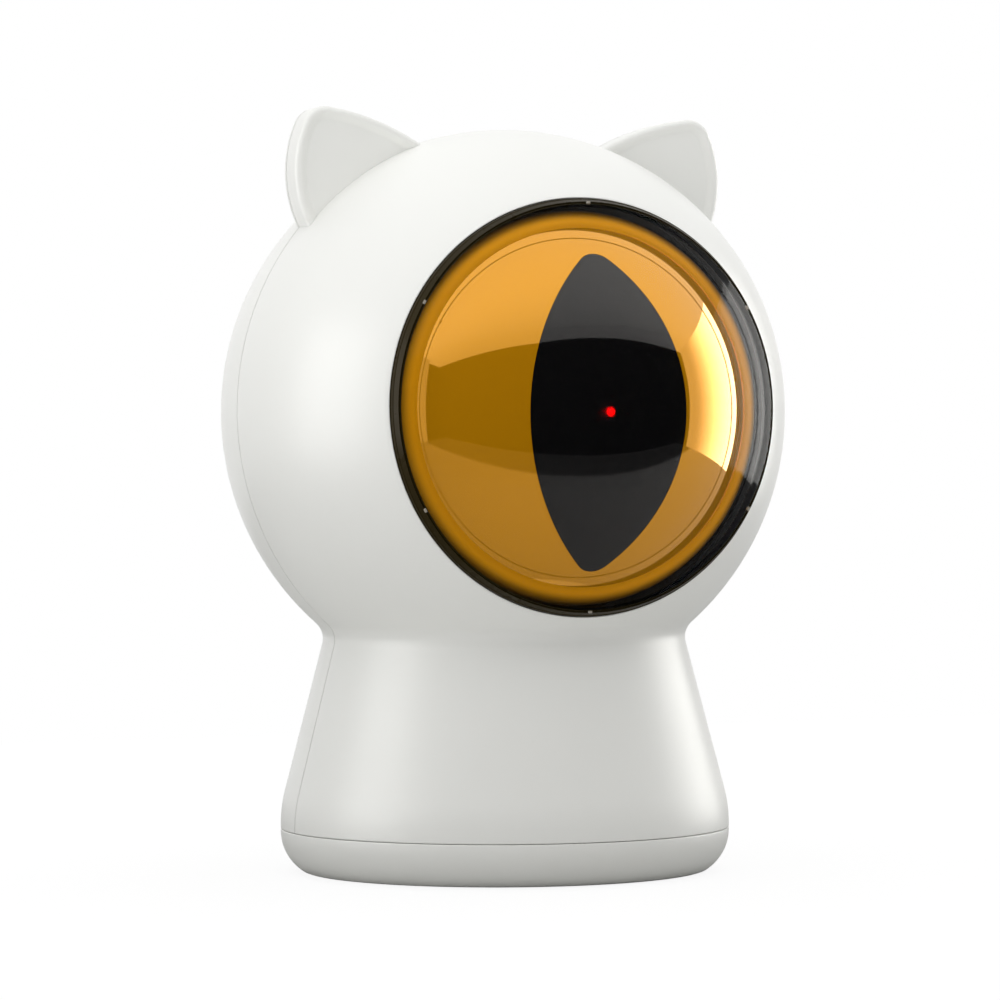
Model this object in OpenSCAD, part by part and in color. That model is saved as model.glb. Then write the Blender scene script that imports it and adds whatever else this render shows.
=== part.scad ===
// Automatic laser toy for cats: a round head with two ears on a flared body.
// One big domed eye with a slit pupil hides a laser that pans and tilts.
// Millimetres. +Z is up, the eye looks along -Y, and z = 0 is the table.

/* [Head] */
// Radius of the round head
head_r = 41; // [40:0.25:43]
// Height of the head's centre above the table
head_z = 66.6; // [65:0.2:70]
// Thickness of the moulded shells
wall = 2; // [1.6:0.1:2.2]
// Width of the joint lines between the shells
joint_gap = 0.3; // [0.2:0.05:0.4]

/* [Body] */
// Radius of the body just above the base cover
body_r = 32.6; // [32:0.2:35]
// Radius of the neck, where the flared body starts
neck_r = 26.45; // [26:0.25:28]
// Height of the neck above the table
neck_z = 33.2; // [32:0.2:34.4]
// Radius that blends the neck into the head
neck_blend = 3; // [2:0.5:5]
// Radius of the soft turn from the flared body into the foot
hip_r = 20; // [16:1:24]
// Height of the joint line between the shells and the base cover
base_joint_z = 6.7; // [6.2:0.1:7.4]
// Radius of the rounded lower edge of the base cover
base_edge_r = 6.8; // [6:0.2:7.4]

/* [Ears] */
// Sideways place of the ear tip's rounding, from the middle
ear_tip_x = 28.7; // [27:0.25:30]
// Height of the ear tip's rounding above the head's centre
ear_tip_z = 39.85; // [38:0.05:42]
// Radius of the ear's rounded tip
ear_tip_r = 3.5; // [3:0.1:4]
// Radius of the ear's bulging outer side
ear_outer_r = 17.5; // [16:0.5:20]
// Radius of the ear's long inner side
ear_inner_r = 36; // [34:0.5:40]
// Thickness of the ear in front of the shells' joint
ear_front_t = 3.9; // [3:0.1:5]
// Thickness of the ear behind the shells' joint
ear_back_t = 0.9; // [0.8:0.1:2]
// Width of the raised border round the front of the ear
ear_border = 0.9; // [0.7:0.1:1.5]
// Depth of the ear's hollowed front
ear_hollow = 0.5; // [0.3:0.1:1]

/* [Eye] */
// Radius of the clear eye lens at its rim
eye_r = 29.07; // [28:0.25:29.5]
// How far the lens rim stands out of the head
lens_proud = 0.8; // [0.4:0.1:1.2]
// Thickness of the clear lens
lens_t = 1.2; // [1:0.1:1.4]
// Gap between the lens and the edge of the shell's opening
lens_gap = 0.25; // [0.15:0.05:0.35]
// Gap between the clear lens and the mirrored dome at their tops
iris_gap = 0.9; // [0.6:0.1:1.2]
// Radius of curvature of the mirrored dome, as a share of the clear lens's
iris_curve = 0.8173; // [0.8:0.005:0.83]
// How far the mirrored dome's edge lies inside the clear lens's rim
iris_inset = 4.07; // [3.8:0.01:4.4]
// Thickness of the mirrored dome
iris_t = 0.8; // [0.7:0.1:1]
// Width of the slit pupil, as a share of the mirrored dome's width
pupil_wide = 0.472; // [0.4:0.004:0.52]
// Height of the slit pupil, as a share of the mirrored dome's height
pupil_high = 0.88; // [0.8:0.01:0.9]
// Radius of the pupil's rounded ends
pupil_tip_r = 3.2; // [2.4:0.2:4]
// How far the pupil's middle sits below the head's centre
pupil_drop = 0.8; // [0:0.1:1.5]
// How far the lens flange reaches out behind the shell
flange_w = 1.7; // [1.4:0.1:1.9]
// Thickness of the lens flange
flange_t = 1.2; // [1:0.1:1.4]
// Thickness of the foam gasket in front of the lens flange
gasket_t = 0.5; // [0.4:0.1:0.6]

/* [Laser and gimbal] */
// Distance of the pan axis in front of the head's centre
pan_y = 15.5; // [15:0.1:16]
// Gap between the laser's front and the inside of the mirrored dome
laser_gap = 0.7; // [0.5:0.1:1.5]
// Diameter of the laser module
laser_d = 6; // [5.4:0.1:6.4]
// Length of the laser module
laser_len = 18; // [17:0.25:18.5]
// Diameter of the laser's clear front
laser_window_d = 1.6; // [1.2:0.1:2.4]
// Height of the tilt axis above the yoke's base
yoke_drop = 15.5; // [15:0.1:15.8]
// Distance of each yoke arm's inner face from the middle
yoke_half_w = 9.5; // [9.2:0.1:10]
// Thickness of the yoke's arms and base
yoke_t = 2; // [1.6:0.1:2.2]
// Radius of the pivots that carry the tilting cradle
pivot_r = 1.5; // [1.2:0.1:1.7]
// Radius of the pan shaft
pan_shaft_r = 2; // [1.6:0.1:2.4]
// Clearance between a turning part and its bearing
run_fit = 0.05; // [0.03:0.01:0.08]

/* [Gears and motors] */
// Size of the gear teeth (module)
gear_m = 0.5; // [0.48:0.01:0.52]
// Teeth on each driven gear
gear_teeth = 36; // [34:1:38]
// Teeth on each motor pinion
pinion_teeth = 12; // [11:1:14]
// Width of the gears
gear_w = 2; // [1.6:0.1:2.2]
// Play between the meshing teeth
backlash = 0.1; // [0.06:0.01:0.14]
// Diameter of the gear motors
motor_d = 8; // [7:0.1:8.4]
// Length of the gear motors
motor_len = 16; // [14:0.25:17]
// Radius of the motor shafts
motor_shaft_r = 0.75; // [0.6:0.05:0.9]
// Distance of the pan motor's axis behind the pan axis
pan_motor_back = 5.5; // [5:0.1:6]

/* [Batteries] */
// Diameter of one cell
cell_d = 10.5; // [10:0.1:10.6]
// Length of one cell
cell_len = 44.5; // [42:0.25:45]
// Distance between the middles of two cells
cell_pitch = 12; // [11.8:0.05:12.1]
// Distance of the battery tray's middle behind the head's centre
tray_y = 8.6; // [8.4:0.1:8.8]
// Wall of the battery tray
tray_wall = 1.2; // [1:0.1:1.3]
// Radius of the battery door
door_r = 13.4; // [13.2:0.1:13.8]
// Gap round the battery door
door_gap = 0.2; // [0.15:0.05:0.3]

/* [Controls] */
// Distance of the main board's rear face behind the head's centre
board_y = 21.4; // [21.2:0.1:21.6]
// Width of the main board
board_w = 22; // [20:0.5:22.4]
// Height of the main board
board_h = 28; // [26:0.5:28.5]
// Thickness of the main board
board_t = 1.2; // [1:0.1:1.3]
// Height of the main board's lower edge above the table
board_z = 15.5; // [15.2:0.1:16]
// Height of the power button's middle above the table
button_z = 25; // [24.8:0.1:25.6]
// Radius of the power button
button_r = 4.5; // [4:0.1:4.8]
// How far the power button stands out of the shell
button_proud = 1; // [0.9:0.1:1.6]
// Travel of the power button
button_travel = 0.6; // [0.4:0.1:0.7]
// Height of the USB socket's middle above the table
usb_z = 17.4; // [17.2:0.1:17.6]
// Width of the USB socket
usb_w = 8.9; // [8.4:0.1:9.2]
// Thickness of the USB socket
usb_h = 3.2; // [2.8:0.1:3.4]
// Height of the status light above the table
light_z = 31.8; // [31.6:0.1:32]
// Radius of the status light
light_r = 1; // [0.8:0.05:1.1]

/* [Base] */
// Height of the base cover's underside above the table
foot_proud = 0.4; // [0.3:0.1:0.6]
// Thickness of the base cover's floor
floor_t = 2; // [1.8:0.1:2.2]
// Radius of the rubber feet
foot_r = 4; // [3.5:0.1:4.4]
// Thickness of the rubber feet
foot_t = 1; // [0.9:0.1:1.3]
// Distance of the feet from the middle
foot_ring_r = 24; // [23.8:0.1:24.4]
// Distance of the base screws from the middle
base_screw_ring_r = 25.2; // [25:0.1:25.4]

/* [Fasteners] */
// Radius of the screw shanks
screw_r = 1; // [0.8:0.05:1.1]
// Radius of the screw heads
screw_head_r = 1.9; // [1.7:0.05:2]
// Height of the screw heads
screw_head_h = 1.3; // [1.1:0.1:1.4]
// Clearance round screws, pegs and seated parts
fit = 0.05; // [0.03:0.01:0.08]

/* [Hidden] */
$fn = 72;

// Small working gaps and overlaps that every piece shares
air = 0.3;
sunk = 0.5;
big = 200;

// Body outline: a cone that touches the hip's arc, blended into the head
hip_z = base_joint_z + 0.2;
hip_c = [body_r - hip_r, hip_z];
neck_p = [neck_r, neck_z];
neck_d = norm(neck_p - hip_c);
flare = atan2(neck_z - hip_z, neck_r - hip_c[0]) - acos(hip_r / neck_d);
flare_n = [cos(flare), sin(flare)];
blend_cos = (flare_n * neck_p + neck_blend - sin(flare) * head_z) / (head_r + neck_blend);
blend_a = acos(blend_cos) - flare;
blend_c = [(head_r + neck_blend) * cos(blend_a), head_z - (head_r + neck_blend) * sin(blend_a)];

// Base cover outline
edge_c = [body_r - base_edge_r, base_joint_z - 0.7];
edge_a = asin((edge_c[1] - foot_proud) / base_edge_r);
floor_top = foot_proud + floor_t;

// Ear outline: three arcs that touch each other
ear_tip_c = [ear_tip_x, ear_tip_z];
ear_outer_a = 24;
ear_inner_a = 97.3;
ear_inner_sweep = 36;
ear_outer_c = ear_tip_c - (ear_outer_r - ear_tip_r) * [cos(ear_outer_a), sin(ear_outer_a)];
ear_inner_c = ear_tip_c - (ear_inner_r - ear_tip_r) * [cos(ear_inner_a), sin(ear_inner_a)];

// Eye: distances in front of the head's centre
rim_h = sqrt(pow(head_r, 2) - pow(eye_r, 2)) + lens_proud;
lens_top_h = head_r;
lens_sag = lens_top_h - rim_h;
lens_dome_r = (pow(eye_r, 2) + pow(lens_sag, 2)) / (2 * lens_sag);
lens_c = lens_top_h - lens_dome_r;
iris_dome_r = lens_dome_r * iris_curve;
iris_r = eye_r - iris_inset;
inner_head_r = head_r - wall;
flange_r = eye_r + flange_w;
land_h = sqrt(pow(inner_head_r, 2) - pow(flange_r, 2));
flange_back_h = land_h - gasket_t - flange_t;
opening_r = eye_r + lens_gap;
iris_top_h = lens_top_h - lens_t - iris_gap;
iris_c = iris_top_h - iris_dome_r;
iris_edge_h = iris_c + sqrt(pow(iris_dome_r, 2) - pow(iris_r, 2));
iris_skirt_r = eye_r - lens_t - joint_gap;
iris_back_h = flange_back_h - iris_t;
retainer_t = 2;
retainer_len = 5.8;
retainer_h = iris_back_h - retainer_len;
retainer_wall = 3.2;
retainer_screw_len = 5;
lug_ring_r = inner_head_r - 5.8;
lug_r = 2.4;
boss_r = 2.1;

// Pupil: two big arcs joined by small round ends
pupil_half = iris_r * pupil_wide;
pupil_tip_z = iris_r * pupil_high - pupil_tip_r;
pupil_arc_r = (pow(pupil_half, 2) + pow(pupil_tip_z, 2) - pow(pupil_tip_r, 2))
    / (2 * (pupil_half - pupil_tip_r));
pupil_arc_x = pupil_arc_r - pupil_half;
pupil_a = atan2(pupil_tip_z, pupil_arc_x);

// Gimbal: places of its axes and levels
tilt_z = head_z - pupil_drop;
laser_reach = iris_top_h - iris_t - laser_gap - pan_y;
laser_r = laser_d / 2;
gear_d_mid = gear_m * (gear_teeth + pinion_teeth) / 2;
yoke_base_z = tilt_z - yoke_drop;
pan_gear_z = yoke_base_z - gear_w;
plate_t = 2;
plate_top = pan_gear_z - air;
plate_z = plate_top - plate_t;
pan_motor_x = sqrt(pow(gear_d_mid, 2) - pow(pan_motor_back, 2));
pan_motor_y = pan_motor_back - pan_y;
arm_out = yoke_half_w + yoke_t;
arm_half_d = 4;
bush_wall = 1.1;
bush_flange = 1;
bush_flange_t = 0.8;
tilt_gear_x = arm_out + bush_flange_t + air;
motor_r = motor_d / 2;
pinion_bore_r = motor_shaft_r - 0.1;
holder_wall = 1.2;
pinion_extra = 0.2;
pinion_side = 0.1;
bush_drop = 3;
cup_len = 8;
shaft_in = 4;
pan_pad_r = 6.5;
bracket_foot_r = 3;
bracket_bar = 4;
bracket_screw_len = 7.5;
bracket_boss_x = 22;
bracket_boss_y = 7;
bracket_boss_r = 2.8;
clip_r = 3.4;
clip_t = 0.8;
clip_z = plate_z - bush_drop - bush_flange_t - clip_t - 0.1;
cradle_half = 5;
pressure_a = 25;
addendum = 0.95;
dedendum = 1.25;

// Batteries: levels from the floor of the base cover up
cell_r = cell_d / 2;
tray_hole_r = cell_r + 0.3;
contact_t = 0.3;
spring_h = 1.4;
cell_z = floor_top + contact_t + spring_h;
tray_top_gap = 0.4;
tray_top_t = 1.4;
tray_z = floor_top + air;
tray_top = cell_z + cell_len + contact_t + tray_top_gap + tray_top_t;
cell_ring_r = cell_pitch / sqrt(3);
tray_foot_t = 1.5;
tray_foot_z = floor_top + 3;
tray_foot_x = 16;
tray_foot_y = tray_y - 6;
tray_foot_r = 3;
tray_screw_len = 4.5;

// Controls on the rear wall
button_out = outer_r(button_z);
button_flange = 1;
button_flange_t = 0.9;
button_gap = 0.2;
button_stop = outer_r(button_z + button_r + button_flange) - wall / cos(flare) - 0.1;
button_crown_r = 20;
plunger_r = 1.1;
switch_w = 6;
switch_t = 1.9;
switch_hole = 0.6;
light_out = outer_r(light_z);
usb_front = outer_r(usb_z) - 0.8;
board_boss_x = 8.2;
board_boss_r = 2;
board_screw_len = 4;
board_boss_z = [board_z + 2.6, board_z + board_h - 2.6];

// Base screws and feet, as angles round the base
base_screw_a = [62, 118, 242, 298];
foot_a = [30, 150, 210, 330];
base_screw_top = 12;
base_boss_top = 14;
base_boss_r = 3;
lip_t = 1.4;
lip_h = 2.6;

// Pegs that line up the two shells, as angles round the head in the joint's plane
peg_a = [25, 90, 155];
peg_r = 1.5;
peg_len = 4;
peg_boss_r = 3.2;
peg_ring_r = inner_head_r - peg_boss_r + wall * 0.4;
peg_boss_len = 6;

// Radius of the flared body's outside at a height
function outer_r(z) = (flare_n * neck_p - sin(flare) * z) / cos(flare);

// Points along an arc
function arc(c, r, a0, a1, n = 12) =
    [for (i = [0:n]) c + r * [cos(a0 + (a1 - a0) * i / n), sin(a0 + (a1 - a0) * i / n)]];

// Angle by which an involute has turned from its base circle to radius r
function involute(rb, r) = r <= rb ? 0 : sqrt(pow(r / rb, 2) - 1) * 180 / PI - acos(rb / r);

// Half of a tooth's angle at radius r
function tooth_half(teeth, r) =
    let (rp = gear_m * teeth / 2, rb = rp * cos(pressure_a))
    90 / teeth - backlash / 4 / rp * 180 / PI + involute(rb, rp) - involute(rb, r);

// Outline of a spur gear with involute flanks, one tooth centred on the X axis
function gear_points(teeth) =
    let (rp = gear_m * teeth / 2,
        ra = rp + gear_m * addendum,
        rf = rp - gear_m * dedendum,
        rs = [rf, max(rf, rp * cos(pressure_a)), (rp + rp * cos(pressure_a)) / 2, rp, (rp + ra) / 2, ra])
    [for (k = [0:teeth - 1], side = [-1, 1], i = [0:len(rs) - 1])
        let (r = side < 0 ? rs[i] : rs[len(rs) - 1 - i],
            a = k * 360 / teeth + side * tooth_half(teeth, r))
        r * [cos(a), sin(a)]];

module spur_gear(teeth, width, bore) {
    linear_extrude(width) difference() {
        polygon(gear_points(teeth));
        circle(bore);
    }
}

// The eye's own frame: its Z axis looks out of the head along -Y
module eye_frame() {
    translate([0, 0, head_z]) rotate([90, 0, 0]) children();
}

// A frame whose Z axis runs along +X from the tilt axis
module tilt_frame(x) {
    translate([x, -pan_y, tilt_z]) rotate([90, 0, 90]) children();
}

module mirrored() {
    children();
    mirror([1, 0, 0]) children();
}

// A pan-head screw with its head's underside at z = 0 and its shank below
module screw(len) {
    difference() {
        union() {
            cylinder(r = screw_head_r, h = screw_head_h);
            translate([0, 0, -len]) cylinder(r = screw_r, h = len + sunk);
        }
        for (a = [0, 90]) rotate(a)
            translate([-screw_head_r * 0.6, -0.2, screw_head_h - 0.6])
                cube([screw_head_r * 1.2, 0.4, 1]);
    }
}

// Half outline of the head and body, moved in by a distance
module form_2d(inset) {
    bottom = inset > 0 ? 0 : base_joint_z;
    hip_foot = [hip_c[0] + hip_r - inset, bottom];
    union() {
        intersection() {
            translate([0, head_z]) circle(head_r - inset, $fn = 180);
            square([head_r, big]);
        }
        polygon(concat([[0, bottom], hip_foot], arc(hip_c, hip_r - inset, 0, flare),
            arc(blend_c, neck_blend + inset, 180 + flare, 179 - blend_a),
            [[0, head_z - head_r * 0.6]]));
    }
}

module form(inset) {
    rotate_extrude($fn = 180) form_2d(inset);
}

module ear_2d(inset) {
    polygon(concat(
        arc(ear_outer_c, ear_outer_r - inset, -35, ear_outer_a),
        arc(ear_tip_c, ear_tip_r - inset, ear_outer_a, ear_inner_a),
        arc(ear_inner_c, ear_inner_r - inset, ear_inner_a, ear_inner_a + ear_inner_sweep),
        [[ear_tip_x - 15, ear_tip_z - 16]]));
}

// One ear's plate between two distances in front of the joint plane
module ear_plate(y0, y1, inset) {
    translate([0, -y0, head_z]) rotate([90, 0, 0]) linear_extrude(y1 - y0) ear_2d(inset);
}

// Half of the hollow shells: side is -1 in front and 1 behind
module half_shell(side) {
    difference() {
        union() {
            form(0);
            mirrored() {
                if (side < 0) {
                    difference() {
                        ear_plate(0, ear_front_t, 0);
                        ear_plate(ear_front_t - ear_hollow, ear_front_t + 1, ear_border);
                    }
                } else {
                    ear_plate(-ear_back_t, 0, 0);
                }
            }
        }
        form(wall);
        translate([-big / 2, side < 0 ? -joint_gap / 2 : joint_gap / 2 - big, -sunk])
            cube([big, big, big]);
        translate([-big / 2, -big / 2, -big + base_joint_z + joint_gap]) cube([big, big, big]);
    }
}

// Bosses that take the base screws, tied to the wall, on one side
module base_bosses(side) {
    boss_z = floor_top + plate_t + air;
    for (a = base_screw_a) if (sin(a) * side > 0) rotate(a) {
        difference() {
            union() {
                translate([base_screw_ring_r, 0, boss_z])
                    cylinder(r = base_boss_r, h = base_boss_top - boss_z);
                translate([base_screw_ring_r, -0.8, base_joint_z + lip_h + 1])
                    cube([outer_r(base_boss_top) - base_screw_ring_r - wall / 2, 1.6,
                        base_boss_top - base_joint_z - lip_h - 1]);
            }
            translate([base_screw_ring_r, 0, 0]) cylinder(r = screw_r + fit, h = base_screw_top + 1);
        }
    }
}

// Bosses for the pegs that line up the shells
module peg_bosses(side) {
    for (a = peg_a) eye_frame() rotate(a) translate([peg_ring_r, 0, 0]) {
        if (side < 0) {
            translate([0, 0, joint_gap / 2]) difference() {
                cylinder(r = peg_boss_r, h = peg_boss_len);
                translate([0, 0, -1]) cylinder(r = peg_r + fit, h = peg_len + 1.5);
            }
        } else {
            mirror([0, 0, 1]) translate([0, 0, joint_gap / 2])
                cylinder(r = peg_boss_r, h = peg_boss_len);
            translate([0, 0, -1]) cylinder(r = peg_r, h = peg_len + 1);
        }
    }
}

module front_shell() {
    color([0.95, 0.95, 0.93]) {
        difference() {
            union() {
                half_shell(-1);
                intersection() {
                    form(wall / 2);
                    union() {
                        eye_frame() translate([0, 0, land_h])
                            cylinder(r = flange_r + 2, h = head_r - land_h);
                        eye_frame() for (a = [45:90:315]) rotate(a)
                            translate([lug_ring_r, 0, retainer_h + retainer_t])
                                cylinder(r = boss_r, h = head_r);
                        mirrored() translate([bracket_boss_x, -bracket_boss_y, head_z - head_r])
                            cylinder(r = bracket_boss_r, h = plate_z - head_z + head_r);
                    }
                }
            }
            eye_frame() translate([0, 0, land_h - 2]) cylinder(r = opening_r, h = head_r);
            eye_frame() for (a = [45:90:315]) rotate(a) translate([lug_ring_r, 0, retainer_h])
                cylinder(r = screw_r + fit, h = retainer_t + 4);
            mirrored() translate([bracket_boss_x, -bracket_boss_y, plate_z - 7])
                cylinder(r = screw_r + fit, h = 8);
        }
        base_bosses(-1);
        peg_bosses(-1);
    }
}

module rear_shell() {
    color([0.93, 0.93, 0.91]) {
        difference() {
            union() {
                half_shell(1);
                intersection() {
                    form(wall / 2);
                    for (x = [-board_boss_x, board_boss_x], z = board_boss_z)
                        translate([x, board_y, z]) rotate([-90, 0, 0])
                            cylinder(r = board_boss_r, h = head_r);
                }
            }
            translate([0, board_y, button_z]) rotate([-90, 0, 0])
                cylinder(r = button_r + button_gap, h = head_r);
            translate([0, board_y, light_z]) rotate([-90, 0, 0])
                cylinder(r = light_r + fit, h = head_r);
            translate([0, board_y + 1, usb_z]) usb_slot(usb_w + 2 * air, usb_h + 2 * air, head_r);
            for (x = [-board_boss_x, board_boss_x], z = board_boss_z)
                translate([x, board_y - 1, z]) rotate([-90, 0, 0])
                    cylinder(r = screw_r + fit, h = 4);
        }
        base_bosses(1);
        peg_bosses(1);
    }
}

// A long hole with round ends, standing across the rear wall
module usb_slot(w, h, depth) {
    rotate([-90, 0, 0]) linear_extrude(depth) {
        square([w - h, h], center = true);
        for (s = [-1, 1]) translate([s * (w - h) / 2, 0]) circle(h / 2);
    }
}

module base_profile(inset) {
    polygon(concat([[0, foot_proud + inset]],
        [edge_c + (base_edge_r - inset) * [cos(edge_a), -sin(edge_a)] - [1.2, 0]],
        arc(edge_c, base_edge_r - inset, -edge_a + 8, 0),
        [[body_r - inset, base_joint_z], [0, base_joint_z]]));
}

module base_cover() {
    lip_out = body_r - wall - joint_gap;
    color([0.94, 0.94, 0.92]) difference() {
        union() {
            rotate_extrude($fn = 180) difference() {
                base_profile(0);
                translate([0, floor_top]) square([lip_out - lip_t, big]);
            }
            translate([0, 0, base_joint_z - sunk]) difference() {
                cylinder(r = lip_out, h = lip_h + sunk);
                translate([0, 0, -1]) cylinder(r = lip_out - lip_t, h = lip_h + 3);
            }
            for (a = base_screw_a) rotate(a) translate([base_screw_ring_r, 0, floor_top - sunk])
                cylinder(r = base_boss_r, h = plate_t + sunk);
            for (s = [-1, 1]) translate([s * tray_foot_x, tray_foot_y, floor_top - sunk])
                cylinder(r = tray_foot_r, h = tray_foot_z - floor_top + sunk);
        }
        translate([0, tray_y, -1]) cylinder(r = door_r + door_gap, h = floor_top + 2);
        for (a = base_screw_a) rotate(a) translate([base_screw_ring_r, 0, 0]) {
            cylinder(r = screw_head_r + air, h = floor_top);
            cylinder(r = screw_r + fit, h = big);
        }
        for (a = foot_a) rotate(a) translate([foot_ring_r, 0, -1])
            cylinder(r = foot_r + fit, h = 1 + foot_t);
        for (s = [-1, 1]) translate([s * tray_foot_x, tray_foot_y, floor_top - 1])
            cylinder(r = screw_r + fit, h = big);
    }
}

module battery_door() {
    color([0.93, 0.93, 0.91]) difference() {
        translate([0, tray_y, foot_proud]) cylinder(r = door_r, h = floor_t);
        translate([0, tray_y - door_r, foot_proud - 2.4]) sphere(4);
        translate([-3, tray_y + 4, foot_proud - 1]) cube([6, 1.2, 1.8]);
    }
}

module cell_places() {
    for (a = [-90, 30, 150]) translate([0, tray_y, 0]) rotate(a)
        translate([cell_ring_r, 0, 0]) children();
}

module door_contacts() {
    color("silver") cell_places() {
        translate([0, 0, floor_top]) cylinder(r = 3.6, h = contact_t);
        translate([0, 0, floor_top + contact_t]) cylinder(r1 = 3.2, r2 = 2, h = spring_h);
    }
}

module foot_pads() {
    color([0.35, 0.35, 0.36]) for (a = foot_a) rotate(a) translate([foot_ring_r, 0, 0])
        cylinder(r = foot_r, h = foot_t);
}

module base_screws() {
    color("silver") for (a = base_screw_a) rotate(a)
        translate([base_screw_ring_r, 0, floor_top]) mirror([0, 0, 1]) screw(-floor_top + base_screw_top);
}

module eye_lens() {
    color([0.35, 0.3, 0.25, 0.5]) eye_frame() rotate_extrude($fn = 180) difference() {
        union() {
            intersection() {
                translate([0, lens_c]) circle(lens_dome_r, $fn = 360);
                translate([0, flange_back_h]) square([eye_r, big]);
            }
            translate([0, flange_back_h]) square([flange_r, flange_t]);
        }
        intersection() {
            translate([0, lens_c]) circle(lens_dome_r - lens_t, $fn = 360);
            translate([-1, flange_back_h - 1]) square([eye_r - lens_t + 1, big]);
        }
    }
}

module lens_gasket() {
    color([0.15, 0.15, 0.15]) eye_frame() translate([0, 0, land_h - gasket_t]) difference() {
        cylinder(r = flange_r - fit, h = gasket_t);
        translate([0, 0, -1]) cylinder(r = opening_r, h = gasket_t + 2);
    }
}

// Half outline of the mirrored dome with its shoulder, skirt and flange
module iris_2d() {
    difference() {
        union() {
            intersection() {
                translate([0, iris_c]) circle(iris_dome_r, $fn = 360);
                translate([0, iris_edge_h]) square([iris_r, big]);
            }
            translate([0, iris_back_h]) square([iris_skirt_r, iris_edge_h - iris_back_h]);
            translate([0, iris_back_h]) square([flange_r, iris_t]);
        }
        intersection() {
            translate([0, iris_c]) circle(iris_dome_r - iris_t, $fn = 360);
            translate([-1, iris_edge_h - iris_t]) square([iris_r + 1, big]);
        }
        translate([-1, iris_back_h - 1]) square([iris_skirt_r - iris_t + 1,
            iris_edge_h - iris_t - iris_back_h + 1]);
    }
}

module pupil_2d(inset) {
    half = arc([-pupil_arc_x, 0], pupil_arc_r - inset, -pupil_a, pupil_a, 24);
    tip = arc([0, pupil_tip_z], pupil_tip_r - inset, pupil_a, 180 - pupil_a, 8);
    right_and_top = concat(half, tip);
    polygon(concat(right_and_top, [for (p = right_and_top) -p]));
}

module pupil_prism(inset) {
    translate([0, -pupil_drop, iris_edge_h - iris_t - 1]) linear_extrude(head_r) pupil_2d(inset);
}

module iris_dome() {
    color([0.9, 0.6, 0.15]) eye_frame() difference() {
        rotate_extrude($fn = 180) iris_2d();
        pupil_prism(0);
    }
}

module pupil_window() {
    color([0.06, 0.05, 0.05]) eye_frame() intersection() {
        rotate_extrude($fn = 180) iris_2d();
        pupil_prism(fit);
    }
}

module lens_retainer() {
    color([0.2, 0.2, 0.21]) eye_frame() difference() {
        union() {
            translate([0, 0, retainer_h]) cylinder(r = flange_r - fit, h = retainer_len);
            intersection() {
                sphere(inner_head_r - joint_gap, $fn = 180);
                for (a = [45:90:315]) rotate(a) translate([0, 0, retainer_h]) {
                    translate([lug_ring_r, 0, 0]) cylinder(r = lug_r, h = retainer_t);
                    translate([flange_r - 2, -lug_r, 0])
                        cube([lug_ring_r - flange_r + 2, 2 * lug_r, retainer_t]);
                }
            }
        }
        cylinder(r = flange_r - retainer_wall, h = head_r);
        for (a = [45:90:315]) rotate(a) translate([lug_ring_r, 0, retainer_h - 1])
            cylinder(r = screw_r + fit, h = retainer_t + 2);
    }
}

module retainer_screws() {
    color("silver") eye_frame() for (a = [45:90:315]) rotate(a)
        translate([lug_ring_r, 0, retainer_h]) mirror([0, 0, 1]) screw(retainer_screw_len);
}

module gimbal_bracket() {
    cup_r = motor_r + fit + holder_wall;
    bush_r = pan_shaft_r + bush_wall;
    color([0.25, 0.26, 0.28]) difference() {
        union() {
            translate([-bracket_boss_x, -bracket_boss_y - bracket_foot_r, plate_z])
                cube([2 * bracket_boss_x, bracket_bar, plate_t]);
            mirrored() translate([bracket_boss_x, -bracket_boss_y, plate_z])
                cylinder(r = bracket_foot_r, h = plate_t);
            translate([0, -pan_y, plate_z]) cylinder(r = pan_pad_r, h = plate_t);
            translate([sunk - pan_pad_r, -pan_y, plate_z])
                cube([2 * (pan_pad_r - sunk), pan_y - bracket_boss_y, plate_t]);
            translate([pan_motor_x, pan_motor_y, plate_z - cup_len])
                cylinder(r = cup_r, h = cup_len + plate_t);
            translate([0, -pan_y, plate_z - bush_drop])
                cylinder(r = bush_r + holder_wall, h = bush_drop + plate_t);
        }
        translate([pan_motor_x, pan_motor_y, plate_z - cup_len - 1])
            cylinder(r = motor_r + fit, h = cup_len + 1);
        translate([pan_motor_x, pan_motor_y, 0]) cylinder(r = motor_shaft_r + air, h = big);
        translate([0, -pan_y, 0]) cylinder(r = bush_r + fit, h = big);
        mirrored() translate([bracket_boss_x, -bracket_boss_y, 0])
            cylinder(r = screw_r + fit, h = big);
    }
}

module bracket_screws() {
    color("silver") mirrored() translate([bracket_boss_x, -bracket_boss_y, plate_top])
        screw(bracket_screw_len);
}

module pan_bush() {
    bush_z = plate_z - bush_drop;
    color([0.75, 0.6, 0.3]) translate([0, -pan_y, bush_z]) difference() {
        union() {
            cylinder(r = pan_shaft_r + bush_wall, h = plate_top - bush_z);
            mirror([0, 0, 1]) cylinder(r = pan_shaft_r + bush_wall + bush_flange, h = bush_flange_t);
        }
        translate([0, 0, -2]) cylinder(r = pan_shaft_r + run_fit, h = head_r);
    }
}

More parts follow.
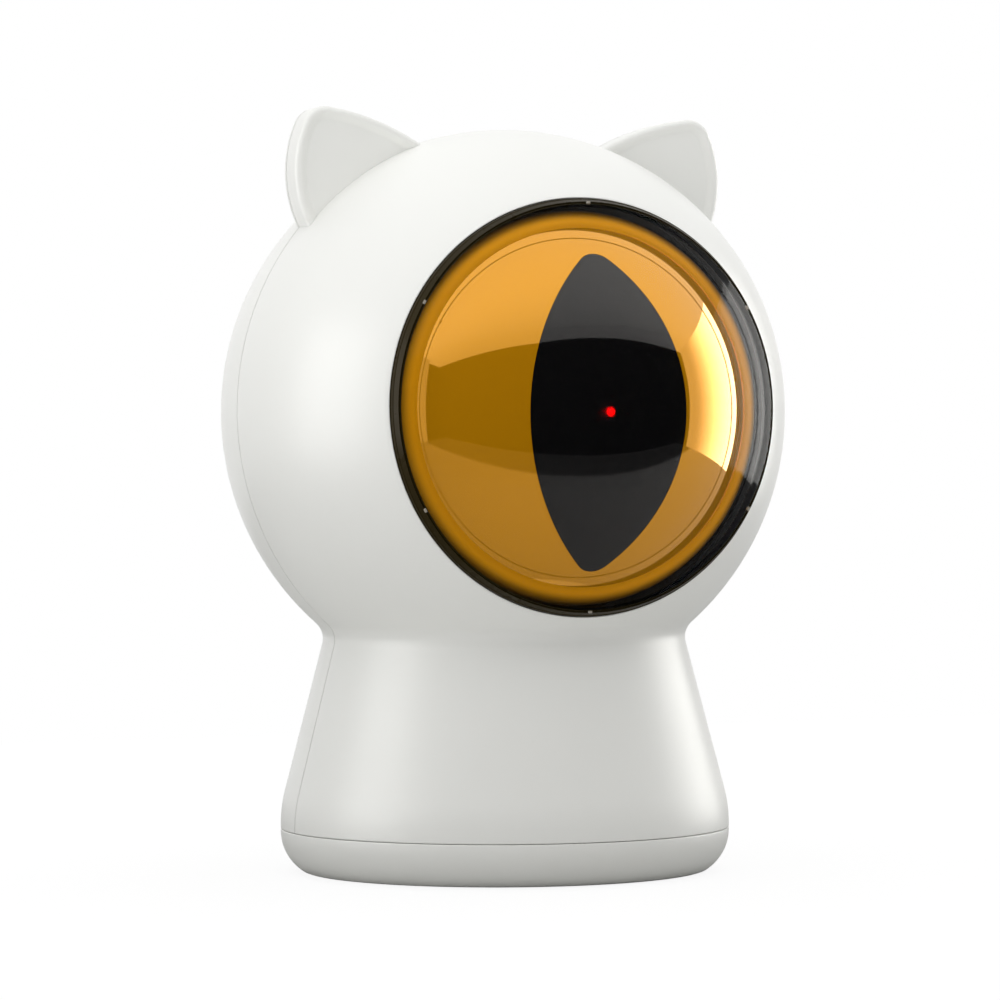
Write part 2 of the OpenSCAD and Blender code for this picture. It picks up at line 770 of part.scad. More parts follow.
module pan_yoke() {
    shaft_z = clip_z - 1;
    motor_y = gear_d_mid - pan_y;
    ring_r = motor_r + fit + holder_wall;
    color([0.3, 0.31, 0.33]) difference() {
        union() {
            translate([-arm_out, -pan_y - 5, yoke_base_z]) cube([2 * arm_out, 10, yoke_t]);
            mirrored() translate([yoke_half_w, -pan_y - arm_half_d, yoke_base_z])
                cube([yoke_t, 2 * arm_half_d, yoke_drop]);
            mirrored() tilt_frame(yoke_half_w) cylinder(r = arm_half_d, h = yoke_t);
            translate([-3, 0, 0]) rotate([90, 0, 90]) linear_extrude(6)
                polygon([[-pan_y + 2, yoke_base_z + sunk], [-pan_y + 5, yoke_base_z + sunk],
                    [motor_y + 2, tilt_z - motor_r - 0.3], [motor_y - 2.5, tilt_z - motor_r - 0.3]]);
            tilt_frame(-3) translate([gear_d_mid, 0, 0]) cylinder(r = ring_r, h = 6);
            translate([0, -pan_y, shaft_z]) cylinder(r = pan_shaft_r, h = yoke_base_z - shaft_z + 1);
        }
        tilt_frame(-4) translate([gear_d_mid, 0, 0]) cylinder(r = motor_r + fit, h = 8);
        tilt_frame(-arm_out - 1) cylinder(r = pivot_r + bush_wall + fit, h = 2 * arm_out + 2);
    }
}

module pan_gear() {
    color([0.9, 0.88, 0.8]) translate([0, -pan_y, pan_gear_z])
        rotate(atan2(pan_motor_back, pan_motor_x)) spur_gear(gear_teeth, gear_w, pan_shaft_r + fit);
}

module pan_clip() {
    color("silver") translate([0, -pan_y, clip_z]) difference() {
        cylinder(r = clip_r, h = clip_t);
        translate([0, 0, -1]) cylinder(r = pan_shaft_r + fit, h = clip_t + 2);
    }
}

module pan_pinion() {
    color([0.9, 0.88, 0.8]) translate([pan_motor_x, pan_motor_y, 0])
        rotate(180 + atan2(pan_motor_back, pan_motor_x) + 180 / pinion_teeth) {
            translate([0, 0, pan_gear_z - pinion_side])
                spur_gear(pinion_teeth, gear_w - pinion_side, pinion_bore_r);
            translate([0, 0, plate_z - shaft_in]) cylinder(r = motor_shaft_r,
                h = pan_gear_z + gear_w - 2 * pinion_side - plate_z + shaft_in);
        }
}

// A small gear motor: its front face at z = 0 and its body below
module gear_motor() {
    box_len = motor_len * 0.4;
    difference() {
        union() {
            translate([0, 0, -box_len]) cylinder(r = motor_r, h = box_len);
            translate([0, 0, -motor_len]) cylinder(r = motor_r - 0.3, h = motor_len);
            for (s = [-1, 1]) translate([s * 2 - 0.5, -0.2, -motor_len - 1.5]) cube([1, 0.4, 2]);
        }
        translate([0, 0, -shaft_in - 1]) cylinder(r = motor_shaft_r + run_fit, h = shaft_in + 2);
    }
}

module pan_motor() {
    color([0.7, 0.71, 0.73]) translate([pan_motor_x, pan_motor_y, plate_z]) gear_motor();
}

module yoke_bushes() {
    color([0.75, 0.6, 0.3]) mirrored() tilt_frame(yoke_half_w) difference() {
        union() {
            cylinder(r = pivot_r + bush_wall, h = yoke_t);
            translate([0, 0, yoke_t])
                cylinder(r = pivot_r + bush_wall + bush_flange, h = bush_flange_t);
        }
        translate([0, 0, -1]) cylinder(r = pivot_r + run_fit, h = yoke_t + 3);
    }
}

module tilt_cradle() {
    pin_end = tilt_gear_x + gear_w + 0.4;
    holder_len = 10;
    color([0.3, 0.31, 0.33]) difference() {
        union() {
            translate([-cradle_half, -pan_y - 4, tilt_z - 4]) cube([2 * cradle_half, 8, 8]);
            translate([0, -pan_y - 3, tilt_z]) rotate([90, 0, 0])
                cylinder(r = laser_r + fit + 1.3, h = holder_len);
            tilt_frame(-yoke_half_w + air) cylinder(r = pivot_r + 1, h = 2 * (yoke_half_w - air));
            tilt_frame(-arm_out) cylinder(r = pivot_r, h = arm_out + pin_end);
        }
        translate([0, -pan_y - laser_reach + laser_len + fit, tilt_z]) rotate([90, 0, 0])
            cylinder(r = laser_r + fit, h = laser_len * 2);
    }
}

module tilt_gear() {
    color([0.9, 0.88, 0.8]) tilt_frame(tilt_gear_x) spur_gear(gear_teeth, gear_w, pivot_r + fit);
}

module tilt_pinion() {
    color([0.9, 0.88, 0.8]) tilt_frame(0) translate([gear_d_mid, 0, 0])
        rotate(180 + 180 / pinion_teeth) {
            translate([0, 0, tilt_gear_x - pinion_extra / 2])
                spur_gear(pinion_teeth, gear_w + pinion_extra, pinion_bore_r);
            translate([0, 0, motor_len / 2 - shaft_in]) cylinder(r = motor_shaft_r,
                h = tilt_gear_x - motor_len / 2 + shaft_in + gear_w + pinion_extra / 2);
        }
}

module tilt_motor() {
    color([0.7, 0.71, 0.73]) tilt_frame(motor_len / 2) translate([gear_d_mid, 0, 0]) gear_motor();
}

module laser_module() {
    color([0.8, 0.65, 0.3]) translate([0, -pan_y - laser_reach, tilt_z]) rotate([-90, 0, 0])
        difference() {
            cylinder(r = laser_r, h = laser_len);
            translate([0, 0, -1]) cylinder(r = laser_window_d / 2 + fit, h = 1.5);
        }
}

module laser_lens() {
    color([1, 0, 0]) translate([0, -pan_y - laser_reach, tilt_z]) rotate([-90, 0, 0])
        cylinder(r = laser_window_d / 2, h = 0.5);
}

module main_board() {
    color([0.1, 0.4, 0.2]) difference() {
        translate([-board_w / 2, board_y - board_t, board_z]) cube([board_w, board_t, board_h]);
        for (x = [-board_boss_x, board_boss_x], z = board_boss_z)
            translate([x, board_y - 3, z]) rotate([-90, 0, 0]) cylinder(r = screw_r + fit, h = 6);
    }
}

module board_chips() {
    chip_t = 0.9;
    color([0.1, 0.1, 0.1]) translate([0, board_y - board_t - chip_t, 0]) {
        translate([-3, 0, board_z + 9]) cube([6, chip_t, 6]);
        translate([-5, 0, board_z + 19]) cube([4, chip_t, 5]);
        translate([1.5, 0, board_z + 19]) cube([4, chip_t, 5]);
    }
}

module board_screws() {
    color("silver") for (x = [-board_boss_x, board_boss_x], z = board_boss_z)
        translate([x, board_y - board_t, z]) rotate([90, 0, 0]) screw(board_screw_len);
}

module push_switch() {
    color([0.15, 0.15, 0.16]) translate([0, board_y, button_z]) rotate([-90, 0, 0]) difference() {
        translate([-switch_w / 2, -switch_w / 2, 0]) cube([switch_w, switch_w, switch_t]);
        translate([0, 0, switch_hole]) cylinder(r = plunger_r + 0.1, h = switch_t);
    }
}

module power_button() {
    plunger_end = board_y + switch_hole + button_travel + 0.15;
    flange_back = button_stop - button_flange_t;
    color([0.9, 0.9, 0.88]) translate([0, 0, button_z]) rotate([-90, 0, 0]) {
        intersection() {
            translate([0, 0, flange_back])
                cylinder(r = button_r, h = button_out + button_proud - flange_back);
            translate([0, 0, button_out + button_proud - button_crown_r])
                sphere(button_crown_r, $fn = 120);
        }
        translate([0, 0, flange_back]) cylinder(r = button_r + button_flange, h = button_flange_t);
        translate([0, 0, plunger_end]) cylinder(r = plunger_r, h = flange_back - plunger_end + sunk);
    }
}

module usb_socket() {
    color("silver") translate([0, board_y, usb_z]) {
        difference() {
            usb_slot(usb_w, usb_h, usb_front - board_y);
            translate([0, 1.5, 0]) usb_slot(usb_w - 0.7, usb_h - 0.7, head_r);
        }
        translate([-usb_w / 2 + 1.6, 1, -0.35]) cube([usb_w - 3.2, usb_front - board_y - 2, 0.7]);
    }
}

module status_light() {
    color([0.9, 0.95, 1]) translate([0, board_y, light_z]) rotate([-90, 0, 0]) {
        translate([-1, -0.6, 0]) cube([2, 1.2, 0.9]);
        translate([0, 0, 0.8]) cylinder(r = light_r, h = light_out - board_y - 0.8);
    }
}

module tray_2d() {
    for (a = [-90, 30, 150]) rotate(a) translate([cell_ring_r, 0]) circle(tray_hole_r + tray_wall);
    circle(cell_ring_r);
}

module battery_tray() {
    color([0.22, 0.22, 0.23]) difference() {
        union() {
            translate([0, tray_y, tray_z]) linear_extrude(tray_top - tray_z) tray_2d();
            translate([-tray_foot_x, tray_foot_y - tray_foot_r, tray_foot_z])
                cube([2 * tray_foot_x, 2 * tray_foot_r, tray_foot_t]);
            for (s = [-1, 1]) translate([s * tray_foot_x, tray_foot_y, tray_foot_z])
                cylinder(r = tray_foot_r, h = tray_foot_t);
        }
        cell_places() cylinder(r = tray_hole_r, h = tray_top - tray_top_t);
        for (s = [-1, 1]) translate([s * tray_foot_x, tray_foot_y, 0])
            cylinder(r = screw_r + fit, h = big);
    }
}

module tray_contacts() {
    color("silver") cell_places()
        translate([0, 0, tray_top - tray_top_t - contact_t]) cylinder(r = 4, h = contact_t);
}

module tray_screws() {
    color("silver") for (s = [-1, 1])
        translate([s * tray_foot_x, tray_foot_y, tray_foot_z + tray_foot_t]) screw(tray_screw_len);
}

module battery_cells() {
    nub_h = 0.9;
    color([0.75, 0.7, 0.35]) cell_places() translate([0, 0, cell_z]) {
        cylinder(r = cell_r, h = cell_len - nub_h);
        cylinder(r = 1.9, h = cell_len);
    }
}

front_shell();
rear_shell();
base_cover();
battery_door();
door_contacts();
foot_pads();
base_screws();
eye_lens();
lens_gasket();
iris_dome();
pupil_window();
lens_retainer();
retainer_screws();
gimbal_bracket();
bracket_screws();
pan_bush();
pan_yoke();
pan_gear();
pan_clip();
pan_pinion();
pan_motor();
yoke_bushes();
tilt_cradle();
tilt_gear();
tilt_pinion();
tilt_motor();
laser_module();
laser_lens();
main_board();
board_chips();
board_screws();
push_switch();
power_button();
usb_socket();
status_light();
battery_tray();
tray_contacts();
tray_screws();
battery_cells();
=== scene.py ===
"""Looks of an automatic cat laser toy: a round eared head on a flared body, with one domed eye."""
import math

import bmesh
import bpy
import numpy as np
from mathutils import Matrix


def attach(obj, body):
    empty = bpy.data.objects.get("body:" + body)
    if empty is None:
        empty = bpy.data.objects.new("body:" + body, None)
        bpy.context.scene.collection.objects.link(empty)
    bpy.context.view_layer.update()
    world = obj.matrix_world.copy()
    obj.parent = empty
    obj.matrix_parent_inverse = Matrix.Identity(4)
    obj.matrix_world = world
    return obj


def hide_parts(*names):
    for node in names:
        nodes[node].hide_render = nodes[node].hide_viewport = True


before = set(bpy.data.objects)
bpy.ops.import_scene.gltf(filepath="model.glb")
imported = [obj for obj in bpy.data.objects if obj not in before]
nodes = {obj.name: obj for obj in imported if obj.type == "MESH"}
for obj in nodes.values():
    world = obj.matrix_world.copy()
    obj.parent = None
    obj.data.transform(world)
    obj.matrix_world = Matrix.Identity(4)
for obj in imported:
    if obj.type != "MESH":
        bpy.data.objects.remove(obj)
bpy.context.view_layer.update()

# ---- Camera ----
# A long lens at the height of the eye, a little to one side, as the product shot has it. It
# stands about 0.6 m away and looks level, so upright lines stay upright.
camera_data = bpy.data.cameras.new("product_camera")
camera_data.lens, camera_data.sensor_width = 142.06, 36
camera_data.clip_start, camera_data.clip_end = 0.01, 20
camera = bpy.data.objects.new("product_camera", camera_data)
bpy.context.scene.collection.objects.link(camera)
camera.matrix_world = Matrix((
    (0.91879, 0.00355, -0.39474, -0.2275),
    (-0.39473, -0.00323, -0.91879, -0.5283),
    (-0.00454, 1.0, -0.00157, 0.05293),
    (0, 0, 0, 1),
))
bpy.context.scene.camera = camera

# ---- Head and body shells ----
# Two halves moulded in satin white plastic, 2 mm thick. They meet on a line over the head and
# down both sides, and each carries half of both ears. The front one has the eye's opening.
head_r, head_z, wall = 41.0, 66.6, 2.0
body_r, hip_r, hip_z = 32.6, 20.0, 6.9
neck_r, neck_z, neck_blend = 26.45, 33.2, 3.0
seam, shell_foot, edge_soft = 0.08, 6.4, 0.12
eye_r, opening_r, land_h = 29.07, 29.15, 23.96
ear_tip, ear_tip_r = np.array((28.7, 39.85)), 3.5
ear_outer_r, ear_outer_a, ear_inner_r, ear_inner_a = 17.5, 24.0, 36.0, 97.3
ear_front, ear_back, ear_border, ear_hollow, ear_slope = 3.9, 0.9, 0.72, 0.6, 1.3
ear_front_soft, ear_back_soft, ear_root = 0.7, 0.35, (-15, -16)


def on_arc(centre, radius, start, stop, count, outward=1):
    """Points of an arc with the normals of its face: rows of (r, h, normal r, normal h)."""
    angles = np.radians(np.linspace(start, stop, count))
    face = np.stack((np.cos(angles), np.sin(angles)), 1)
    return np.hstack((np.array(centre) + radius * face, outward * face))


def turned(name, outline, steps, axis):
    """A solid turned about the up axis or the eye's axis from its outline, in millimetres."""
    ring = np.radians(np.arange(steps) * 360 / steps)
    points, faces, starts = [], [], []
    for radius, height in [tuple(row[:2]) for row in outline]:
        starts.append(len(points))
        if radius < 1e-6:
            points.append((0, 0, height))
        else:
            points += [(radius * math.cos(a), radius * math.sin(a), height) for a in ring]
    closed = outline[0][0] > 1e-6 and outline[-1][0] > 1e-6
    for i in range(len(starts) if closed else len(starts) - 1):
        j = (i + 1) % len(starts)
        low, high = starts[i], starts[j]
        low_pole, high_pole = outline[i][0] < 1e-6, outline[j][0] < 1e-6
        for k in range(steps):
            m = (k + 1) % steps
            if low_pole and not high_pole:
                faces.append((low, high + m, high + k))
            elif high_pole and not low_pole:
                faces.append((low + k, low + m, high))
            elif not low_pole:
                faces.append((low + k, low + m, high + m, high + k))
    co = np.array(points, float)
    if axis == "eye":
        co = np.stack((co[:, 0], -co[:, 2], head_z + co[:, 1]), 1)
    return solid(name, co, faces)


def solid(name, co, faces):
    """A closed mesh object from points in millimetres, with its faces turned outwards."""
    mesh = bpy.data.meshes.new(name)
    mesh.from_pydata((co * 0.001).tolist(), [], faces)
    work = bmesh.new()
    work.from_mesh(mesh)
    bmesh.ops.remove_doubles(work, verts=work.verts, dist=1e-7)
    bmesh.ops.recalc_face_normals(work, faces=work.faces)
    work.to_mesh(mesh)
    work.free()
    piece = bpy.data.objects.new(name, mesh)
    bpy.context.scene.collection.objects.link(piece)
    return piece


def settle(piece, tool):
    """Turns a piece's modifiers into its plain mesh, and throws away the tool they worked with."""
    graph = bpy.context.evaluated_depsgraph_get()
    mesh = bpy.data.meshes.new_from_object(piece.evaluated_get(graph))
    piece.modifiers.clear()
    piece.data = mesh
    bpy.data.objects.remove(tool)
    return piece


def carve(piece, tool, how="DIFFERENCE"):
    """Cuts the tool out of the piece, joins it on, or keeps what lies in both."""
    cut = piece.modifiers.new("cut", "BOOLEAN")
    cut.operation, cut.object, cut.solver = how, tool, "EXACT"
    return settle(piece, tool)


def halve(piece, way):
    """Keeps the half of a piece that lies before (-1) or behind (1) the joint plane, and caps it."""
    work = bmesh.new()
    work.from_mesh(piece.data)
    everything = work.verts[:] + work.edges[:] + work.faces[:]
    cut = bmesh.ops.bisect_plane(work, geom=everything, dist=1e-8, plane_co=(0, way * seam * 0.001, 0),
                                 plane_no=(0, way, 0), clear_inner=True)
    edges = [item for item in cut["geom_cut"] if isinstance(item, bmesh.types.BMEdge)]
    bmesh.ops.triangle_fill(work, edges=edges, use_beauty=True)
    bmesh.ops.recalc_face_normals(work, faces=work.faces)
    work.to_mesh(piece.data)
    work.free()


def turned_face(outline, axis, reach=0.03):
    """Finds, for a mesh's points, which lie on a turned face and what its true normal is there."""
    line = np.array(outline, float)

    def find(co):
        if axis == "eye":
            radial, height = co[:, [0, 2]] - (0, head_z), -co[:, 1]
        else:
            radial, height = co[:, :2], co[:, 2]
        radius = np.linalg.norm(radial, axis=1)
        flat = np.stack((radius, height), 1)
        best, normal = np.full(len(co), 9.0), np.zeros((len(co), 2))
        for a, b in zip(line[:-1], line[1:]):
            along = b[:2] - a[:2]
            t = np.clip(((flat - a[:2]) @ along) / max(along @ along, 1e-12), 0, 1)
            away = np.linalg.norm(flat - a[:2] - t[:, None] * along, axis=1)
            closer = away < best
            best[closer] = away[closer]
            normal[closer] = (a[2:] + t[:, None] * (b[2:] - a[2:]))[closer]
        spoke = radial / np.maximum(radius, 1e-9)[:, None]
        n = np.zeros((len(co), 3))
        if axis == "eye":
            n[:, 0], n[:, 2] = spoke[:, 0] * normal[:, 0], spoke[:, 1] * normal[:, 0]
            n[:, 1] = -normal[:, 1]
        else:
            n[:, :2], n[:, 2] = spoke * normal[:, :1], normal[:, 1]
        n /= np.maximum(np.linalg.norm(n, axis=1), 1e-9)[:, None]
        return best < reach, n

    return find


def polish(piece, faces=()):
    """Shades a piece smooth, sharp at its corners, with the true normals on its turned faces."""
    mesh = piece.data
    mesh.polygons.foreach_set("use_smooth", np.ones(len(mesh.polygons), bool))
    mesh.set_sharp_from_angle(angle=math.radians(32))
    count = len(mesh.loops)
    corner = np.empty(count * 3, np.float32)
    mesh.corner_normals.foreach_get("vector", corner)
    corner = corner.reshape(-1, 3)
    vert = np.empty(count, np.int32)
    mesh.loops.foreach_get("vertex_index", vert)
    flat = np.empty(len(mesh.polygons) * 3, np.float32)
    mesh.polygons.foreach_get("normal", flat)
    sizes = np.empty(len(mesh.polygons), np.int32)
    mesh.polygons.foreach_get("loop_total", sizes)
    flat = np.repeat(flat.reshape(-1, 3), sizes, axis=0)
    co = np.empty(len(mesh.vertices) * 3, np.float32)
    mesh.vertices.foreach_get("co", co)
    co = co.reshape(-1, 3) * 1000.0
    for face in faces:
        near, normal = face(co)
        side = (normal[vert] * flat).sum(1)
        use = near[vert] & (np.abs(side) > 0.93)
        corner[use] = (normal[vert] * np.sign(side)[:, None])[use]
    mesh.normals_split_custom_set(corner.tolist())
    return piece


# The outline runs up the flared body, through the neck's blend and round the head to its top
hip = np.array((body_r - hip_r, hip_z))
to_neck = np.array((neck_r, neck_z)) - hip
flare = math.atan2(to_neck[1], to_neck[0]) - math.acos(hip_r / np.linalg.norm(to_neck))
lean = np.array((math.cos(flare), math.sin(flare)))
blend_cos = (lean @ (neck_r, neck_z) + neck_blend - lean[1] * head_z) / (head_r + neck_blend)
blend_a = math.acos(blend_cos) - flare
blend_c = np.array((math.cos(blend_a), -math.sin(blend_a))) * (head_r + neck_blend) + (0, head_z)


def body_outline(inset):
    """The shell's outline from its foot to the top of the head, an inset inside its outer face."""
    flare_d, blend_d = math.degrees(flare), math.degrees(blend_a)
    low = math.degrees(math.asin((shell_foot + edge_soft - hip_z) / hip_r))
    rows = [on_arc(hip, hip_r - inset, low, flare_d, 14)]
    start = rows[0][-1, :2]
    stop = on_arc(blend_c, neck_blend + inset, 180 + flare_d, 180 + flare_d, 1)[0, :2]
    steps = np.linspace(0, 1, 18)[1:-1, None]
    rows.append(np.hstack((start + steps * (stop - start), np.tile(lean, (16, 1)))))
    rows.append(on_arc(blend_c, neck_blend + inset, 180 + flare_d, 180 - blend_d, 14, -1))
    rows.append(on_arc((0, head_z), head_r - inset, -blend_d, 90, 110)[1:])
    rows[-1][-1, 0] = 0
    return np.vstack(rows)


def around(ring, angle):
    """The point at an angle on a ring about the middle."""
    return ring * math.cos(math.radians(angle)), ring * math.sin(math.radians(angle))


def ear_outline(inset):
    """Two flat arcs that meet in a rounded tip, closed inside the head."""
    outer_c = ear_tip - around(ear_outer_r - ear_tip_r, ear_outer_a)
    inner_c = ear_tip - around(ear_inner_r - ear_tip_r, ear_inner_a)
    rows = [on_arc(outer_c, ear_outer_r - inset, -35, ear_outer_a, 26)[:, :2],
            on_arc(ear_tip, ear_tip_r - inset, ear_outer_a, ear_inner_a, 22)[1:, :2],
            on_arc(inner_c, ear_inner_r - inset, ear_inner_a, ear_inner_a + 36, 36)[1:, :2],
            [ear_tip + ear_root]]
    return np.vstack(rows)


def ear(name, layers, side):
    """An ear's half: its outline at each layer's inset and distance behind the joint plane."""
    points, faces = [], []
    for inset, back in layers:
        ring = ear_outline(inset)
        points += [(side * x, back, head_z + z) for x, z in ring]
    count = len(ring)
    for i in range(len(layers) - 1):
        for k in range(count):
            m = (k + 1) % count
            faces.append((i * count + k, i * count + m, (i + 1) * count + m, (i + 1) * count + k))
    faces.append(tuple(range(count)))
    faces.append(tuple(range((len(layers) - 1) * count, len(layers) * count)))
    return solid(name, np.array(points, float), faces)


def rounded_layers(depth, soft, way, hollow=0):
    """An ear's layers from the joint plane out to its face, with a soft edge and a hollowed panel."""
    rows = [(0, -way * 0.5), (0, way * (depth - soft))]
    rows += [(soft * (1 - math.cos(t)), way * (depth - soft + soft * math.sin(t)))
             for t in np.radians(np.linspace(10, 90, 9))]
    if hollow:
        rows += [(ear_border + ear_slope * t, way * (depth - hollow * (1 - math.cos(math.pi * t)) / 2))
                 for t in np.linspace(0, 1, 10)]
    return rows


outer_face, inner_face = body_outline(0), body_outline(wall)
foot_edge = on_arc((body_r - edge_soft, shell_foot + edge_soft), edge_soft, -90, 0, 6)
inner_solid = [(0, 5), (inner_face[0, 0], 5)] + [tuple(r) for r in inner_face[:, :2]]
outer_solid = [(0, shell_foot)] + [tuple(r) for r in np.vstack((foot_edge, outer_face))[:, :2]]

rim_soft = 0.08
soft_c = math.sqrt((head_r - rim_soft) ** 2 - (opening_r + rim_soft) ** 2)
soft_a = math.degrees(math.atan2(soft_c, opening_r + rim_soft))
rim_edge = on_arc((opening_r + rim_soft, soft_c), rim_soft, 180, soft_a + 5, 7)
opening = [(0, land_h - 2), (opening_r, land_h - 2)] + [tuple(r) for r in rim_edge[:, :2]]
opening += [(rim_edge[-1, 0], 60), (0, 60)]


def shell_half(name, way):
    """One half of the shell: way is -1 for the front and 1 for the rear."""
    shell = turned(name, outer_solid, 256, "up")
    for side in (-1, 1):
        if way < 0:
            layers = rounded_layers(ear_front, ear_front_soft, -1, ear_hollow)
        else:
            layers = rounded_layers(ear_back, ear_back_soft, 1)
        carve(shell, ear("ear", layers, side), "UNION")
    carve(shell, turned("hollow", inner_solid, 128, "up"))
    if way < 0:
        carve(shell, turned("opening", opening, 256, "eye"))
    halve(shell, way)
    return shell


def shader(name):
    """A new material, its node tree and its main shader."""
    made = bpy.data.materials.new(name)
    made.use_nodes = True
    tree = made.node_tree
    return made, tree, tree.nodes["Principled BSDF"]


def grain(tree, scale, detail=3.0, stretch=(1, 1, 1)):
    """Noise on the piece's own coordinates, with about scale lumps to the metre."""
    place = tree.nodes.new("ShaderNodeTexCoord")
    turn = tree.nodes.new("ShaderNodeMapping")
    turn.inputs["Scale"].default_value = stretch
    noise = tree.nodes.new("ShaderNodeTexNoise")
    noise.inputs["Scale"].default_value = scale
    noise.inputs["Detail"].default_value = detail
    tree.links.new(place.outputs["Object"], turn.inputs["Vector"])
    tree.links.new(turn.outputs["Vector"], noise.inputs["Vector"])
    return noise.outputs["Fac"]


def ramp(tree, value, start, stop, low=0.0, high=1.0, way="LINEAR"):
    """A value that runs from low to high while another runs from start to stop."""
    span = tree.nodes.new("ShaderNodeMapRange")
    span.interpolation_type = way
    for label, number in (("From Min", start), ("From Max", stop), ("To Min", low), ("To Max", high)):
        span.inputs[label].default_value = number
    tree.links.new(value, span.inputs["Value"])
    return span.outputs["Result"]


def spread(tree, value, low, high):
    """Spreads the middle of a noise between two numbers."""
    return ramp(tree, value, 0.3, 0.7, low, high)


def shades(tree, factor, first, second):
    """Mixes two shades by a 0 to 1 factor."""
    mix = tree.nodes.new("ShaderNodeMix")
    mix.data_type = "RGBA"
    mix.inputs["A"].default_value, mix.inputs["B"].default_value = (*first, 1), (*second, 1)
    tree.links.new(factor, mix.inputs["Factor"])
    return mix.outputs["Result"]


def two_tone(tree, value, first, second):
    """Clouds a shade with another one, close to it, by a noise."""
    return shades(tree, spread(tree, value, 0, 1), first, second)


def texture_bump(tree, main, value, strength, depth, under=None):
    """A fine texture in the surface, over an edge's own soft normal where it has one."""
    bump = tree.nodes.new("ShaderNodeBump")
    bump.inputs["Strength"].default_value = strength
    bump.inputs["Distance"].default_value = depth
    tree.links.new(value, bump.inputs["Height"])
    if under is not None:
        tree.links.new(under, bump.inputs["Normal"])
    tree.links.new(bump.outputs["Normal"], main.inputs["Normal"])


def moulded_plastic(name, shade, other, rough, texture=4200, strength=0.1, soft_edge=0.0):
    """Moulded plastic: a fine spark-eroded texture and a faint cloudiness in shade and gloss."""
    made, tree, main = shader(name)
    cloud = grain(tree, 60, 2)
    tree.links.new(two_tone(tree, cloud, shade, other), main.inputs["Base Color"])
    tree.links.new(spread(tree, cloud, rough - 0.03, rough + 0.03), main.inputs["Roughness"])
    under = None
    if soft_edge:
        edge = tree.nodes.new("ShaderNodeBevel")
        edge.samples = 4
        edge.inputs["Radius"].default_value = soft_edge
        under = edge.outputs["Normal"]
    texture_bump(tree, main, grain(tree, texture, 2), strength, 0.00002, under)
    return made


def dress(piece, material):
    """Gives a piece, or a node of the CAD model, its material."""
    for place in piece.material_slots:
        place.material = material
    if not piece.material_slots:
        piece.data.materials.append(material)
    return piece


# A satin gloss, a little weaker than the usual one of plastic
shell_white = moulded_plastic("shell_white_satin", (0.87, 0.873, 0.842), (0.86, 0.863, 0.832), 0.34,
                              soft_edge=0.0002)
shell_white.node_tree.nodes["Principled BSDF"].inputs["Specular IOR Level"].default_value = 0.35
front_skin = dress(shell_half("front_shell_skin", -1), shell_white)
polish(front_skin, (turned_face(outer_face, "up"), turned_face(inner_face, "up"),
                    turned_face(rim_edge, "eye")))
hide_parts("front_shell")
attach(front_skin, "housing")

rear_skin = dress(shell_half("rear_shell_skin", 1), shell_white)
# Openings in the rear wall for the power button, the status light and the charging inlet
button_z, button_r, button_gap, light_z, light_r, light_gap = 25.0, 4.5, 0.2, 31.8, 1.0, 0.05
usb_z, usb_w, usb_h, usb_gap = 17.4, 8.9, 3.2, 0.3


def straight_tool(name, outline, centre_z, near, far):
    """A straight tool along y between near and far, from an outline of (x, z) points."""
    count = len(outline)
    co = [(x, y, centre_z + z) for y in (near, far) for x, z in outline]
    faces = [tuple(range(count)), tuple(range(count, 2 * count))]
    faces += [(k, (k + 1) % count, count + (k + 1) % count, count + k) for k in range(count)]
    return solid(name, np.array(co, float), faces)


def round_outline(radius, count):
    """A circle of so many points."""
    return on_arc((0, 0), radius, 0, 360 * (count - 1) / count, count)[:, :2]


slot_h, slot_w = usb_h + 2 * usb_gap, usb_w + 2 * usb_gap
slot_outline = np.vstack((on_arc(((slot_w - slot_h) / 2, 0), slot_h / 2, -90, 90, 20)[:, :2],
                          on_arc((-(slot_w - slot_h) / 2, 0), slot_h / 2, 90, 270, 20)[:, :2]))
for name, outline, height in (("button_hole", round_outline(button_r + button_gap, 72), button_z),
                              ("light_hole", round_outline(light_r + light_gap, 32), light_z),
                              ("inlet_hole", slot_outline, usb_z)):
    carve(rear_skin, straight_tool(name, outline, height, 15, 60))
polish(rear_skin, (turned_face(outer_face, "up"), turned_face(inner_face, "up")))
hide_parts("rear_shell")
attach(rear_skin, "housing")

# ---- Base cover ----
# A shallow dish in the same white plastic that closes the body from below. It has a soft lower
# edge, a locating lip inside, the battery opening, four screw wells and seats for the feet.
base_top, base_edge_r, foot_proud, heel_z, floor_t = 6.32, 6.8, 0.4, 0.15, 2.0
lip_h, lip_t, lip_gap = 2.6, 1.4, 0.3
edge_c = (body_r - base_edge_r, 6.0)
edge_a = math.degrees(math.asin((edge_c[1] - heel_z) / base_edge_r))
heel_r = 29.0
door_y, door_r, door_gap = 8.6, 13.4, 0.2
screw_ring, screw_angles, shank_r, well_r, boss_r = 25.2, (62, 118, 242, 298), 1.05, 2.2, 3
tray_x, tray_y = 16, door_y - 6
foot_ring, foot_angles, foot_r, foot_t = 24.0, (30, 150, 210, 330), 4.0, 1.0
floor_top, lip_out, lip_top = foot_proud + floor_t, body_r - wall - lip_gap, base_top + lip_h
belly = on_arc(edge_c, base_edge_r, 4 - edge_a, 0, 26)
shoulder = on_arc((body_r - edge_soft, base_top - edge_soft), edge_soft, 0, 90, 6)
heel_round = [(heel_r - 0.7, foot_proud), (heel_r - 0.4, heel_z + 0.03), (heel_r - 0.2, heel_z),
              (heel_r + 0.15, heel_z + 0.02), (heel_r + 0.45, heel_z + 0.12)]
base_outline = [(0, foot_proud)] + heel_round + [tuple(r) for r in np.vstack((belly, shoulder))[:, :2]]
base_outline += [(lip_out, base_top), (lip_out, lip_top), (lip_out - lip_t, lip_top),
                 (lip_out - lip_t, floor_top), (0, floor_top)]
